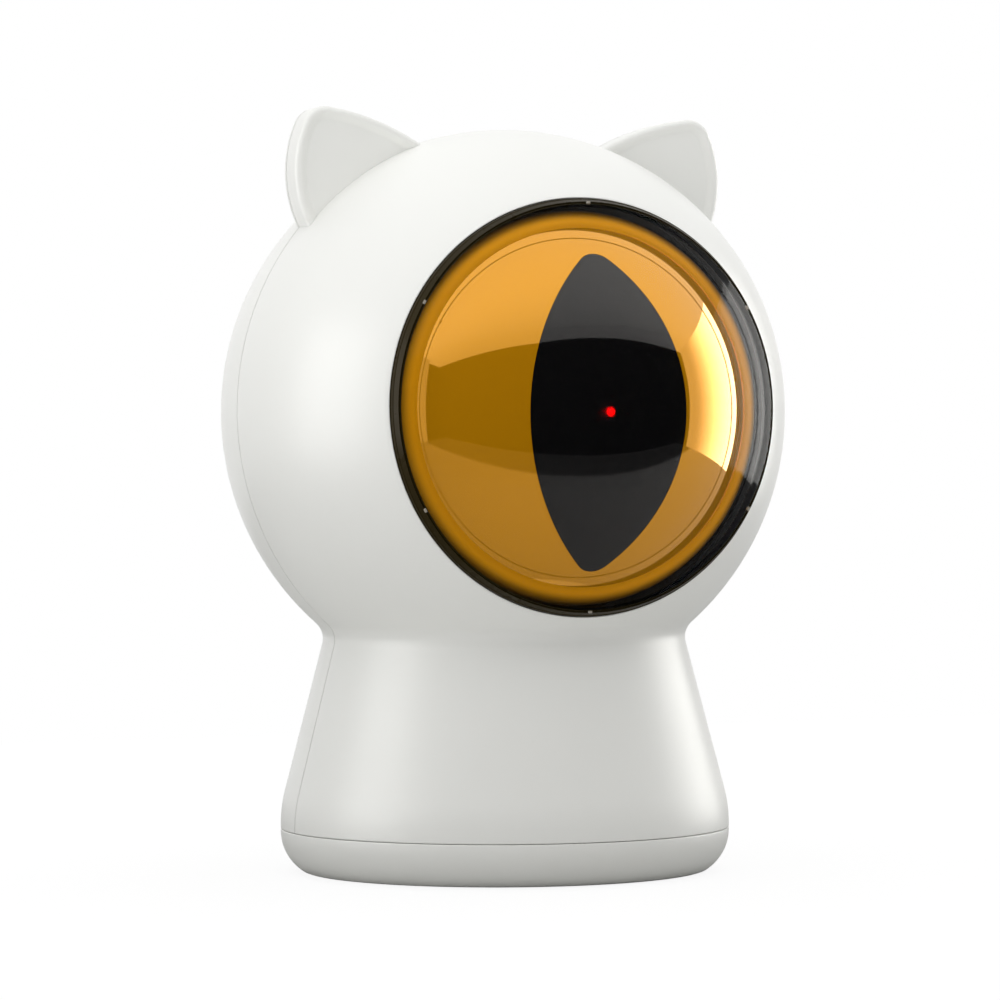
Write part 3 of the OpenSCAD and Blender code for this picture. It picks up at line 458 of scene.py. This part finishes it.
base_skin = dress(turned("base_cover_skin", base_outline, 256, "up"), shell_white)


def post(name, x, y, radius, low, high, count=48):
    """An upright round post, or the tool for a round hole."""
    outline = [(0, low), (radius, low), (radius, high), (0, high)]
    made = turned(name, outline, count, "up")
    made.data.transform(Matrix.Translation((x * 0.001, y * 0.001, 0)))
    return made


for angle in screw_angles:
    carve(base_skin, post("boss", *around(screw_ring, angle), boss_r, 2, 4.4), "UNION")
for side in (-1, 1):
    carve(base_skin, post("tray_foot", side * tray_x, tray_y, boss_r, 2, 5.4), "UNION")
    carve(base_skin, post("tray_hole", side * tray_x, tray_y, shank_r, 1.4, 9, 24))
carve(base_skin, post("door_hole", 0, door_y, door_r + door_gap, -1, 5, 128))
for angle in screw_angles:
    carve(base_skin, post("well", *around(screw_ring, angle), well_r, -1, floor_top))
    carve(base_skin, post("shank", *around(screw_ring, angle), shank_r, 0, 9, 24))
for angle in foot_angles:
    carve(base_skin, post("seat", *around(foot_ring, angle), foot_r + 0.05, -1, foot_t))
polish(base_skin, (turned_face(belly, "up"), turned_face(shoulder, "up")))
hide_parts("base_cover")
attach(base_skin, "housing")
dress(nodes["battery_door"], shell_white)

# ---- Feet ----
# Four soft grey rubber discs, pressed into the seats of the base cover. They keep the toy in
# place on a smooth floor. A geometry tree sets one turned disc at each seat.
foot_soft = 0.25
foot_round = on_arc((foot_r - foot_soft, foot_soft), foot_soft, -90, 0, 6)
foot_outline = [(0, 0)] + [tuple(r) for r in foot_round[:, :2]] + [(foot_r, foot_t), (0, foot_t)]


def set_out(name, part, places, material):
    """Sets copies of a part at places, with a geometry tree, and returns them as one plain mesh."""
    spots = bpy.data.meshes.new(name)
    spots.from_pydata([tuple(p) for p in places], [], [])
    piece = bpy.data.objects.new(name, spots)
    bpy.context.scene.collection.objects.link(piece)
    tree = bpy.data.node_groups.new(name, "GeometryNodeTree")
    face = tree.interface
    face.new_socket("Spots", in_out="INPUT", socket_type="NodeSocketGeometry")
    size = face.new_socket("Size", in_out="INPUT", socket_type="NodeSocketFloat")
    face.new_socket("Pieces", in_out="OUTPUT", socket_type="NodeSocketGeometry")
    spots_in, pieces_out = tree.nodes.new("NodeGroupInput"), tree.nodes.new("NodeGroupOutput")
    source = tree.nodes.new("GeometryNodeObjectInfo")
    source.inputs["Object"].default_value = part
    copies = tree.nodes.new("GeometryNodeInstanceOnPoints")
    real = tree.nodes.new("GeometryNodeRealizeInstances")
    paint = tree.nodes.new("GeometryNodeSetMaterial")
    paint.inputs["Material"].default_value = material
    tree.links.new(spots_in.outputs["Spots"], copies.inputs["Points"])
    tree.links.new(source.outputs["Geometry"], copies.inputs["Instance"])
    tree.links.new(spots_in.outputs["Size"], copies.inputs["Scale"])
    tree.links.new(copies.outputs["Instances"], real.inputs["Geometry"])
    tree.links.new(real.outputs["Geometry"], paint.inputs["Geometry"])
    tree.links.new(paint.outputs["Geometry"], pieces_out.inputs["Pieces"])
    lay = piece.modifiers.new("lay", "NODES")
    lay.node_group = tree
    lay[size.identifier] = 1.0
    return settle(piece, part)


foot_rubber = moulded_plastic("foot_rubber_matte", (0.44, 0.44, 0.43), (0.40, 0.40, 0.39), 0.7,
                              texture=2600, strength=0.35)
foot_places = [(*(0.001 * v for v in around(foot_ring, angle)), 0) for angle in foot_angles]
feet = set_out("foot_discs", turned("foot_disc", foot_outline, 64, "up"), foot_places, foot_rubber)
polish(feet)
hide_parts("foot_pads")
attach(feet, "housing")

# ---- Eye lens ----
# One smoked, polished acrylic dome, 1.2 mm thick. Its flange is clamped behind the front shell
# against a foam gasket, and its rim stands a little out of the opening.
lens_t, flange_w, flange_t, gasket_t, lens_proud = 1.2, 1.7, 1.2, 0.5, 0.8
rim_h = math.sqrt(head_r ** 2 - eye_r ** 2) + lens_proud
lens_sag = head_r - rim_h
lens_dome_r = (eye_r ** 2 + lens_sag ** 2) / (2 * lens_sag)
lens_c = head_r - lens_dome_r
flange_r = eye_r + flange_w
flange_back = land_h - gasket_t - flange_t
rim_w, rim_drop, groove_w, groove_d = 0.9, 0.26, 0.3, 0.35


def dome(centre, radius, edge_r, count, outward=1):
    """A dome's outline from its edge to its top, on the eye's axis."""
    low = math.degrees(math.acos(edge_r / radius))
    rows = on_arc((0, centre), radius, low, 90, count, outward)
    rows[-1, 0] = 0
    return rows


lens_outer = dome(lens_c, lens_dome_r, eye_r - rim_w, 90)
lens_inner = dome(lens_c, lens_dome_r - lens_t, eye_r - lens_t, 90, -1)
step_r, step_h = lens_outer[0, :2]
flange_top, rim_top, groove_r = flange_back + flange_t, rim_h - rim_drop, step_r + groove_w
lens_outline = [tuple(r) for r in lens_inner[::-1, :2]]
lens_outline += [(eye_r - lens_t, flange_back), (flange_r, flange_back), (flange_r, flange_top),
                 (eye_r, flange_top), (eye_r, rim_top - 0.1), (eye_r - 0.05, rim_top),
                 (eye_r - 0.15, rim_top + 0.05), (groove_r + 0.06, step_h - 0.14), (groove_r, step_h - 0.2),
                 (groove_r - 0.02, step_h - groove_d), (step_r + 0.1, step_h - groove_d),
                 (step_r + 0.08, step_h - 0.06), (step_r + 0.05, step_h - 0.03)]
lens_outline += [tuple(r) for r in lens_outer[:, :2]]
lens = turned("eye_lens_dome", lens_outline, 256, "eye")
polish(lens, (turned_face(lens_outer, "eye"), turned_face(lens_inner, "eye")))


def coloured(tree, kind, shade):
    """A plain shader of one colour."""
    made = tree.nodes.new(kind)
    made.inputs["Color"].default_value = (*shade, 1)
    return made


def show_mix(tree, first, second, share):
    """Shows a mix of two shaders. Its share of the second is a number or a socket."""
    mix = tree.nodes.new("ShaderNodeMixShader")
    if isinstance(share, float):
        mix.inputs["Fac"].default_value = share
    else:
        tree.links.new(share, mix.inputs["Fac"])
    for place, source in ((1, first), (2, second)):
        tree.links.new(source.outputs[0], mix.inputs[place])
    tree.links.new(mix.outputs["Shader"], tree.nodes["Material Output"].inputs["Surface"])
    return mix


# Clear from the front and from behind, with the mirror sheen that thin smoked acrylic has
lens_index = 1.1
smoked, tree, main = shader("smoked_clear_acrylic")
tree.nodes.remove(main)
clear = coloured(tree, "ShaderNodeBsdfTransparent", (0.965, 0.96, 0.95))
gloss = coloured(tree, "ShaderNodeBsdfGlossy", (1, 1, 1))
gloss.inputs["Roughness"].default_value = 0.015
inside = tree.nodes.new("ShaderNodeNewGeometry")
sheen = tree.nodes.new("ShaderNodeFresnel")
index = ramp(tree, inside.outputs["Backfacing"], 0, 1, lens_index, 1 / lens_index)
tree.links.new(index, sheen.inputs["IOR"])
show_mix(tree, clear, gloss, sheen.outputs["Fac"])
dress(lens, smoked)

# The rim's front is painted near-black: a painted shade for the dark gasket and the shade inside the lens
# that show through a clear rim. From behind it lets what the mirror throws back pass out through it
rim_painted_dark, tree, main = shader("lens_rim_painted_shade")
main.inputs["Base Color"].default_value = (0.022, 0.015, 0.003, 1)
main.inputs["Specular IOR Level"].default_value = 0.08
tree.links.new(spread(tree, grain(tree, 500, 2), 0.25, 0.35), main.inputs["Roughness"])
clear = tree.nodes.new("ShaderNodeBsdfTransparent")
inside = tree.nodes.new("ShaderNodeNewGeometry")
show_mix(tree, main, clear, inside.outputs["Backfacing"])
lens.data.materials.append(rim_painted_dark)
for face in lens.data.polygons:
    x, y, z = face.center * 1000
    face.material_index = int(math.hypot(x, z - head_z) > step_r + 0.02 and -y > flange_top)
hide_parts("eye_lens")
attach(lens, "housing")

# ---- Snap marks ----
# Six small clear tabs of the lens that snap across the groove of its rim. A geometry tree sets
# them evenly round the eye.
mark_count, mark_r, mark_h = 6, step_r + 0.2, step_h - 0.14
mark_tone, tree, main = shader("snap_mark_smoke")
smoke = two_tone(tree, grain(tree, 600, 2), (0.36, 0.33, 0.28), (0.30, 0.27, 0.22))
tree.links.new(smoke, main.inputs["Base Color"])
main.inputs["Roughness"].default_value = 0.15
texture_bump(tree, main, grain(tree, 2400, 2), 0.1, 0.00001)
mark_rows = [(-0.16, 0.3), (-0.22, 0.24), (-0.22, -0.24), (-0.16, -0.3),
             (0.16, -0.3), (0.22, -0.24), (0.22, 0.24), (0.16, 0.3)]
mark_points = [(x, y, z) for y in (0.25, 0.03) for x, z in mark_rows]
mark_points += [(x * 0.75, -0.04, z * 0.85) for x, z in mark_rows]
mark_faces = [tuple(range(8)), tuple(range(16, 24))]
mark_faces += [(a + k, a + (k + 1) % 8, a + 8 + (k + 1) % 8, a + 8 + k) for a in (0, 8) for k in range(8)]
mark = solid("snap_mark", np.array(mark_points, float), mark_faces)
marks = bpy.data.objects.new("lens_snap_marks", bpy.data.meshes.new("lens_snap_marks"))
bpy.context.scene.collection.objects.link(marks)
tree = bpy.data.node_groups.new("lens_snap_marks", "GeometryNodeTree")
face = tree.interface
face.new_socket("Start", in_out="INPUT", socket_type="NodeSocketGeometry")
tabs = face.new_socket("Tabs", in_out="INPUT", socket_type="NodeSocketInt")
ring_size = face.new_socket("Ring Radius", in_out="INPUT", socket_type="NodeSocketFloat")
face.new_socket("Marks", in_out="OUTPUT", socket_type="NodeSocketGeometry")
sizes_in, marks_out = tree.nodes.new("NodeGroupInput"), tree.nodes.new("NodeGroupOutput")
ring = tree.nodes.new("GeometryNodeMeshCircle")
upright = tree.nodes.new("GeometryNodeTransform")
upright.inputs["Rotation"].default_value = (math.pi / 2, math.pi / 6, 0)
here = tree.nodes.new("GeometryNodeInputPosition")
outward = tree.nodes.new("FunctionNodeAlignRotationToVector")
outward.axis, outward.pivot_axis = "X", "Y"
source = tree.nodes.new("GeometryNodeObjectInfo")
source.inputs["Object"].default_value = mark
copies = tree.nodes.new("GeometryNodeInstanceOnPoints")
lift = tree.nodes.new("GeometryNodeTransform")
lift.inputs["Translation"].default_value = (0, -mark_h * 0.001, head_z * 0.001)
real = tree.nodes.new("GeometryNodeRealizeInstances")
paint = tree.nodes.new("GeometryNodeSetMaterial")
paint.inputs["Material"].default_value = mark_tone
tree.links.new(sizes_in.outputs["Tabs"], ring.inputs["Vertices"])
tree.links.new(sizes_in.outputs["Ring Radius"], ring.inputs["Radius"])
tree.links.new(ring.outputs["Mesh"], upright.inputs["Geometry"])
tree.links.new(upright.outputs["Geometry"], copies.inputs["Points"])
tree.links.new(here.outputs["Position"], outward.inputs["Vector"])
tree.links.new(outward.outputs["Rotation"], copies.inputs["Rotation"])
tree.links.new(source.outputs["Geometry"], copies.inputs["Instance"])
tree.links.new(copies.outputs["Instances"], real.inputs["Geometry"])
tree.links.new(real.outputs["Geometry"], lift.inputs["Geometry"])
tree.links.new(lift.outputs["Geometry"], paint.inputs["Geometry"])
tree.links.new(paint.outputs["Geometry"], marks_out.inputs["Marks"])
lay = marks.modifiers.new("lay", "NODES")
lay.node_group = tree
lay[tabs.identifier], lay[ring_size.identifier] = mark_count, mark_r * 0.001
polish(settle(marks, mark))
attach(marks, "housing")

# ---- Mirrored iris ----
# A thin dome behind the lens, metallised amber on its outside. It rolls over into a dark skirt
# and a flange, which is clamped with the lens. The slit pupil is cut out of it.
iris_gap, iris_t, iris_r, iris_curve, skirt_gap = 0.9, 0.8, 25.0, 0.8173, 0.3
iris_dome_r = lens_dome_r * iris_curve
iris_top = head_r - lens_t - iris_gap
iris_c = iris_top - iris_dome_r
iris_edge_h = iris_c + math.sqrt(iris_dome_r ** 2 - iris_r ** 2)
iris_back = flange_back - iris_t
skirt_r = eye_r - lens_t - skirt_gap
pupil_wide, pupil_tall, pupil_tip_r, pupil_drop, pupil_gap = 0.472, 0.88, 3.2, 0.8, 0.05
pupil_half, pupil_tip_z = iris_r * pupil_wide, iris_r * pupil_tall - pupil_tip_r
pupil_arc_r = (pupil_half ** 2 + pupil_tip_z ** 2 - pupil_tip_r ** 2) / (2 * (pupil_half - pupil_tip_r))
pupil_arc_x = pupil_arc_r - pupil_half
pupil_a = math.degrees(math.atan2(pupil_tip_z, pupil_arc_x))

iris_outer = dome(iris_c, iris_dome_r, iris_r, 90)
iris_inner = dome(iris_c, iris_dome_r - iris_t, iris_r - 0.9, 60, -1)
roll_r = skirt_r - iris_r
iris_roll = on_arc((iris_r, iris_edge_h - roll_r), roll_r, 0, 84, 16)
iris_outline = [tuple(r) for r in iris_inner[::-1, :2]]
iris_outline += [(skirt_r - iris_t - 0.5, iris_edge_h - roll_r), (skirt_r - iris_t, iris_back),
                 (flange_r, iris_back), (flange_r, iris_back + iris_t), (skirt_r, iris_back + iris_t)]
iris_outline += [tuple(r) for r in iris_roll[:, :2]] + [tuple(r) for r in iris_outer[:, :2]]


def pupil_outline(inset):
    """Two arcs that meet above and below in small round tips, an inset inside the slit."""
    flank = on_arc((-pupil_arc_x, 0), pupil_arc_r - inset, -pupil_a, pupil_a, 60)[:, :2]
    tip = on_arc((0, pupil_tip_z), pupil_tip_r - inset, pupil_a, 180 - pupil_a, 20)[1:, :2]
    half = np.vstack((flank, tip))
    return np.vstack((half, -half[1:]))[:-1]


def pupil_tool(name, inset):
    """The slit's outline, run through the iris from before the lens to behind the shoulder."""
    return straight_tool(name, pupil_outline(inset), head_z - pupil_drop, -55, -(iris_edge_h - iris_t - 1))


iris = turned("iris_dome_mirror", iris_outline, 256, "eye")
pupil = turned("pupil_window_slit", iris_outline, 256, "eye")
carve(iris, pupil_tool("pupil_cut", 0))
carve(pupil, pupil_tool("pupil_keep", pupil_gap), "INTERSECT")
for part in (iris, pupil):
    polish(part, (turned_face(iris_outer, "eye"), turned_face(iris_inner, "eye"),
                  turned_face(iris_roll, "eye")))


def from_axis(tree, height):
    """The distance of each point from a level axis that runs front to back at a height."""
    place = tree.nodes.new("ShaderNodeTexCoord")
    centre = tree.nodes.new("ShaderNodeMapping")
    centre.inputs["Location"].default_value = (0, 0, -height * 0.001)
    centre.inputs["Scale"].default_value = (1, 0, 1)
    reach = tree.nodes.new("ShaderNodeVectorMath")
    reach.operation = "LENGTH"
    tree.links.new(place.outputs["Object"], centre.inputs["Vector"])
    tree.links.new(centre.outputs["Vector"], reach.inputs[0])
    return reach.outputs["Value"]


def by_radius(tree, value, start, stop, low, high):
    """A value that turns smoothly from low to high between two radii, in millimetres."""
    return ramp(tree, value, start * 0.001, stop * 0.001, low, high, "SMOOTHSTEP")


# The lacquered mirror ends at the dome's edge. Beyond it the bare shoulder's colour is painted darker
# outwards into the dark skirt, a painted shade where it rolls under the lens rim.
mirror_end, bare_start, shade_start, shade_stop = iris_r, iris_r + 0.02, 25.6, 28.2
amber, tree, main = shader("amber_mirror_coating")
reach = from_axis(tree, head_z)
shoulder_painted_shade = by_radius(tree, reach, shade_start, shade_stop, 0, 1)
tree.links.new(shades(tree, shoulder_painted_shade, (1.0, 0.44, 0.004), (0.030, 0.020, 0.008)), main.inputs["Base Color"])
for label, on_dome, beyond in (("Roughness", 0.03, 0.55), ("Coat Weight", 1, 0)):
    tree.links.new(by_radius(tree, reach, mirror_end, bare_start, on_dome, beyond), main.inputs[label])
main.inputs["Metallic"].default_value = 0.58
main.inputs["Coat Roughness"].default_value = 0.02
main.inputs["Specular IOR Level"].default_value = 0.2
texture_bump(tree, main, grain(tree, 900, 2), 0.004, 0.00001)
dress(iris, amber)
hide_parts("iris_dome")
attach(iris, "housing")

# ---- Pupil window ----
# A slit of dark laser filter set flush into the iris. It looks black and polished, but lets
# the red beam behind it through.
dark_filter, tree, main = shader("dark_laser_filter")
main.inputs["Base Color"].default_value = (0.004, 0.004, 0.0045, 1)
main.inputs["Roughness"].default_value = 0.04
main.inputs["IOR"].default_value = 1.75
texture_bump(tree, main, grain(tree, 900, 2), 0.004, 0.00001)
show_mix(tree, main, coloured(tree, "ShaderNodeBsdfTransparent", (1.0, 0.25, 0.2)), 0.1)
dress(pupil, dark_filter)
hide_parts("pupil_window")
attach(pupil, "housing")

# ---- Laser ----
# A turned brass tube held in the tilt cradle, with a red diode behind its small clear front.
# The middle of the front glows red, and the beam leaves through the slit pupil.
laser_z, glow_r, glow_end_r, glow = 65.8, 0.25, 0.82, 260
laser_red, tree, main = shader("laser_red_glow")
main.inputs["Base Color"].default_value = (0.9, 0.01, 0.01, 1)
main.inputs["Roughness"].default_value = 0.2
main.inputs["Emission Color"].default_value = (1.0, 0.012, 0.02, 1)
tree.links.new(by_radius(tree, from_axis(tree, laser_z), glow_r, glow_end_r, glow, 0),
               main.inputs["Emission Strength"])
texture_bump(tree, main, grain(tree, 3000, 2), 0.05, 0.00001)
dress(nodes["laser_lens"], laser_red)


def metal(name, shade, other, rough, stretch=(1, 1, 1), scale=900, strength=0.08):
    """Bare metal with fine tool marks in its shade, gloss and surface."""
    made, tree, main = shader(name)
    marks = grain(tree, scale, 4, stretch)
    tree.links.new(two_tone(tree, marks, shade, other), main.inputs["Base Color"])
    tree.links.new(spread(tree, marks, rough - 0.06, rough + 0.06), main.inputs["Roughness"])
    main.inputs["Metallic"].default_value = 1.0
    texture_bump(tree, main, marks, strength, 0.00002)
    return made


turned_brass = metal("turned_brass", (0.60, 0.39, 0.14), (0.52, 0.33, 0.11), 0.3, (1, 6, 1))
for name in ("laser_module", "pan_bush", "yoke_bushes"):
    dress(nodes[name], turned_brass)

# ---- Gimbal, gears and motors ----
# Black moulded frames carry the pan yoke and the tilt cradle. Natural nylon gears turn them,
# driven by two small drawn-steel gear motors, and every shaft runs in a brass bush.
frame_black = moulded_plastic("frame_black_moulded", (0.018, 0.018, 0.019), (0.024, 0.024, 0.025), 0.5,
                              texture=2800, strength=0.2)
for name in ("gimbal_bracket", "pan_yoke", "tilt_cradle", "lens_retainer", "battery_tray"):
    dress(nodes[name], frame_black)
gear_nylon = moulded_plastic("gear_nylon_natural", (0.70, 0.67, 0.58), (0.66, 0.63, 0.54), 0.45,
                             texture=1800, strength=0.1)
for name in ("pan_gear", "tilt_gear", "pan_pinion", "tilt_pinion"):
    dress(nodes[name], gear_nylon)
motor_steel = metal("motor_can_steel", (0.56, 0.57, 0.58), (0.48, 0.49, 0.50), 0.28, (1, 1, 8), 500)
for name in ("pan_motor", "tilt_motor"):
    dress(nodes[name], motor_steel)

# ---- Screws and spring clip ----
# Small zinc-plated steel screws hold the cover, the retainer, the bracket, the board and the
# tray. They are slightly clouded, with a bluish cast, as is the spring clip on the pan shaft.
screw_zinc = metal("screw_zinc_plate", (0.62, 0.64, 0.67), (0.50, 0.52, 0.55), 0.32, (1, 1, 1), 1500)
for name in ("base_screws", "retainer_screws", "bracket_screws", "board_screws", "tray_screws", "pan_clip"):
    dress(nodes[name], screw_zinc)

# ---- Gasket ----
# A ring of black closed-cell foam that seals the lens flange against the front shell. It is
# cut from sheet, and the retainer holds it pressed between the two.
gasket_foam = moulded_plastic("gasket_foam_black", (0.012, 0.012, 0.012), (0.02, 0.02, 0.02), 0.9,
                              texture=5200, strength=0.6)
dress(nodes["lens_gasket"], gasket_foam)

# ---- Main board ----
# A green glass-fibre board with a solder mask, held by its screws. It carries black chips, and
# the push switch that the power button works.
board_mask, tree, main = shader("board_green_mask")
tracks = tree.nodes.new("ShaderNodeTexBrick")
tracks.inputs["Scale"].default_value = 320
tracks.inputs["Mortar Size"].default_value = 0.03
tracks.inputs["Color1"].default_value = (0.010, 0.085, 0.035, 1)
tracks.inputs["Color2"].default_value = (0.012, 0.095, 0.04, 1)
tracks.inputs["Mortar"].default_value = (0.03, 0.2, 0.08, 1)
place = tree.nodes.new("ShaderNodeTexCoord")
turn = tree.nodes.new("ShaderNodeMapping")
turn.inputs["Rotation"].default_value = (math.pi / 2, 0, 0)
tree.links.new(place.outputs["Object"], turn.inputs["Vector"])
tree.links.new(turn.outputs["Vector"], tracks.inputs["Vector"])
tree.links.new(tracks.outputs["Color"], main.inputs["Base Color"])
main.inputs["Roughness"].default_value = 0.25
texture_bump(tree, main, tracks.outputs["Fac"], 0.2, 0.00003)
dress(nodes["main_board"], board_mask)
chip_black = moulded_plastic("chip_black_resin", (0.012, 0.012, 0.013), (0.018, 0.018, 0.019), 0.55,
                             texture=3500, strength=0.25)
for name in ("board_chips", "push_switch"):
    dress(nodes[name], chip_black)

# ---- Rear controls ----
# A round power button in the shell's white sits in the rear wall, with a milky light guide
# above it and a charging inlet below, whose shield is nickel-plated like the cells' contacts.
dress(nodes["power_button"], shell_white)
contact_nickel = metal("contact_nickel_plate", (0.66, 0.65, 0.62), (0.58, 0.57, 0.54), 0.2, (1, 1, 1), 1200)
for name in ("usb_socket", "tray_contacts", "door_contacts"):
    dress(nodes[name], contact_nickel)
light_guide = moulded_plastic("light_guide_milky", (0.70, 0.74, 0.78), (0.66, 0.70, 0.74), 0.3)
dress(nodes["status_light"], light_guide)

# ---- Cells ----
# Three cells in plain foil sleeves stand in the battery tray. Each sleeve is dark, with a
# copper-coloured band at its top.
cell_sleeve, tree, main = shader("cell_sleeve_foil")
band_low, band_high = 0.0362, 0.0364


def places(tree):
    """Each point's own x, y and z."""
    place = tree.nodes.new("ShaderNodeTexCoord")
    split = tree.nodes.new("ShaderNodeSeparateXYZ")
    tree.links.new(place.outputs["Object"], split.inputs["Vector"])
    return split.outputs


band = ramp(tree, places(tree)["Z"], band_low, band_high)
tree.links.new(shades(tree, band, (0.02, 0.02, 0.022), (0.45, 0.22, 0.06)), main.inputs["Base Color"])
main.inputs["Roughness"].default_value = 0.28
texture_bump(tree, main, grain(tree, 700, 2), 0.05, 0.00002)
dress(nodes["battery_cells"], cell_sleeve)

# ---- Table ----
# A small pale table, a plain block. To the camera it is as white as the backdrop, with a faint
# shadow on it. The eye mirrors it as a dim ground, its colour painted light: darker along a strip
# at the front, a painted shade, and lighter towards the right. The light it throws back up on the
# shell is that of pale paper.


def block(name, low, high):
    """A plain block between two corners, in millimetres."""
    (x0, y0, z0), (x1, y1, z1) = low, high
    co = np.array([(x, y, z) for z in (z0, z1) for y in (y0, y1) for x in (x0, x1)], float)
    faces = [(0, 1, 3, 2), (4, 5, 7, 6), (0, 1, 5, 4), (2, 3, 7, 6), (0, 2, 6, 4), (1, 3, 7, 5)]
    return solid(name, co, faces)


table = block("table_top", (-255, -195, -12), (290, 330, 0))
table_pale, tree, main = shader("table_top_pale")
main.inputs["Roughness"].default_value = 0.9
main.inputs["Specular IOR Level"].default_value = 0.0
spot = places(tree)
# Painted light and shade in the colour that the eye and shell mirror: dark along the front strip, lighter
# towards +x
painted_table_light = tree.nodes.new("ShaderNodeMix")
painted_table_light.inputs["A"].default_value = 0.08
tree.links.new(ramp(tree, spot["Y"], -0.138, -0.130), painted_table_light.inputs["Factor"])
tree.links.new(ramp(tree, spot["X"], -0.1, 0.25, 0.27, 0.48), painted_table_light.inputs["B"])
tree.links.new(painted_table_light.outputs["Result"], main.inputs["Base Color"])
path = tree.nodes.new("ShaderNodeLightPath")
paper = coloured(tree, "ShaderNodeBsdfDiffuse", (0.6, 0.6, 0.59))
unseen = show_mix(tree, main, paper, path.outputs["Is Diffuse Ray"])
bright = coloured(tree, "ShaderNodeBsdfDiffuse", (1, 1, 1))
white = tree.nodes.new("ShaderNodeEmission")
white.inputs["Strength"].default_value = 1.0
faint = show_mix(tree, bright, white, 0.9)
show_mix(tree, unseen, faint, path.outputs["Is Camera Ray"])
dress(table, table_pale)

# ---- Mirrored studio ----
# What the polished eye and the satin shell mirror: a wide panel overhead, a tall soft box on one
# side, a narrow strip and a tall sheet on the other, and a black drape behind the camera. None
# of them stands in the picture, and none of them lights the toy in any other way.


def card(name, corners, glow, axis, start, stop, soft, bright):
    """A flat light or drape from its corners in metres, from soft to bright along one axis."""
    mesh = bpy.data.meshes.new(name)
    mesh.from_pydata(corners, [], [(i, i + 1, i + 3, i + 2) for i in range(0, len(corners) - 2, 2)])
    piece = bpy.data.objects.new(name, mesh)
    bpy.context.scene.collection.objects.link(piece)
    made = bpy.data.materials.new(name)
    made.use_nodes = True
    tree = made.node_tree
    tree.nodes.clear()
    light = coloured(tree, "ShaderNodeEmission", glow)
    along = ramp(tree, places(tree)[axis], start, stop, soft, bright, "SMOOTHSTEP")
    tree.links.new(along, light.inputs["Strength"])
    out = tree.nodes.new("ShaderNodeOutputMaterial")
    tree.links.new(light.outputs["Emission"], out.inputs["Surface"])
    dress(piece, made)
    piece.visible_camera = piece.visible_diffuse = piece.visible_shadow = False


overhead = [(-2.4, -1.47, 1), (-1.6, 2.2, 1), (-1.3, -1.55, 1), (-1, 2.2, 1), (-0.3, -1.6, 1), (-0.2, 2.2, 1),
            (0.6, -1.48, 1), (0.4, 2.2, 1), (1.8, -1.26, 1), (1.2, 2.2, 1), (2.45, -1.07, 1), (1.7, 2.2, 1)]
card("overhead_panel", overhead, (1, 1, 1), "Y", -1.6, -0.5, 0.66, 1.05)
card("side_soft_box", [(1, -0.45, -0.4), (1, -0.45, 0.46), (1, 0.5, -0.4), (1, 0.5, 0.58)],
     (1, 0.99, 0.96), "Y", -0.38, 0.1, 0.8, 5.2)
card("side_strip", [(-1, -0.5, -0.3), (-1, -0.5, 0.5), (-1, -0.22, -0.3), (-1, -0.22, 0.54)],
     (1, 1, 1), "Y", -0.5, -0.34, 0.5, 0.7)
card("side_sheet", [(-1, -0.21, -0.4), (-1, -0.21, 0.6), (-1, 0.4, -0.4), (-1, 0.4, 0.6)],
     (1, 1, 1), "Y", -0.2, 0.4, 5.4, 5.4)
drape = []
for turn in range(-110, 131, 10):
    spoke = (3.5 * math.sin(math.radians(turn)), -3.5 * math.cos(math.radians(turn)))
    drape += [(*spoke, -3.0), (*spoke, 2.6)]
card("black_drape", drape, (1, 1, 1), "Z", -3, 2, 0.004, 0.012)

# ---- World ----
# White for the camera, and for what mirrors or shows it. The soft light that falls on the toy
# comes mostly from above, with some from either side and from the front, all at a plain level.
world = bpy.data.worlds.new("soft_light")
bpy.context.scene.world = world
world.use_nodes = True
tree = world.node_tree
tree.nodes.clear()
direction = tree.nodes.new("ShaderNodeTexCoord")


def calc(kind, first, second):
    """Adds two values of the world's tree, or takes the larger."""
    step = tree.nodes.new("ShaderNodeMath")
    step.operation = kind
    tree.links.new(first, step.inputs[0])
    tree.links.new(second, step.inputs[1])
    return step.outputs["Value"]


def soft_from(way, start, stop, strength):
    """Soft light from one way: how far each direction leans to it, spread to a strength."""
    lean_to = tree.nodes.new("ShaderNodeVectorMath")
    lean_to.operation = "DOT_PRODUCT"
    lean_to.inputs[1].default_value = way
    tree.links.new(direction.outputs["Generated"], lean_to.inputs[0])
    return ramp(tree, lean_to.outputs["Value"], start, stop, 0, strength, "SMOOTHSTEP")


above, below = ((0, 0, 1), 0.3, 0.95, 1.66), ((0, 0, -1), 0.0, 0.1, 0.9)
left, right = ((-0.95, -0.2, -0.25), 0.5, 0.98, 0.93), ((0.99, 0.1, 0.1), 0.5, 0.95, 0.6)
low_front = ((-0.4, -0.85, -0.35), 0.5, 0.98, 0.56)
soft = soft_from(*above)
for side in (right, left, low_front, below):
    soft = calc("ADD", soft, soft_from(*side))
path = tree.nodes.new("ShaderNodeLightPath")
seen = calc("MAXIMUM", path.outputs["Is Camera Ray"], path.outputs["Is Transmission Ray"])
seen = calc("MAXIMUM", seen, path.outputs["Is Glossy Ray"])
shown = tree.nodes.new("ShaderNodeMix")
shown.data_type = "FLOAT"
shown.inputs["B"].default_value = 1.0
tree.links.new(seen, shown.inputs["Factor"])
tree.links.new(soft, shown.inputs["A"])
light = coloured(tree, "ShaderNodeBackground", (1, 1, 1))
tree.links.new(shown.outputs["Result"], light.inputs["Strength"])
out = tree.nodes.new("ShaderNodeOutputWorld")
tree.links.new(light.outputs["Background"], out.inputs["Surface"])
bpy.context.scene.view_settings.view_transform = "Standard"
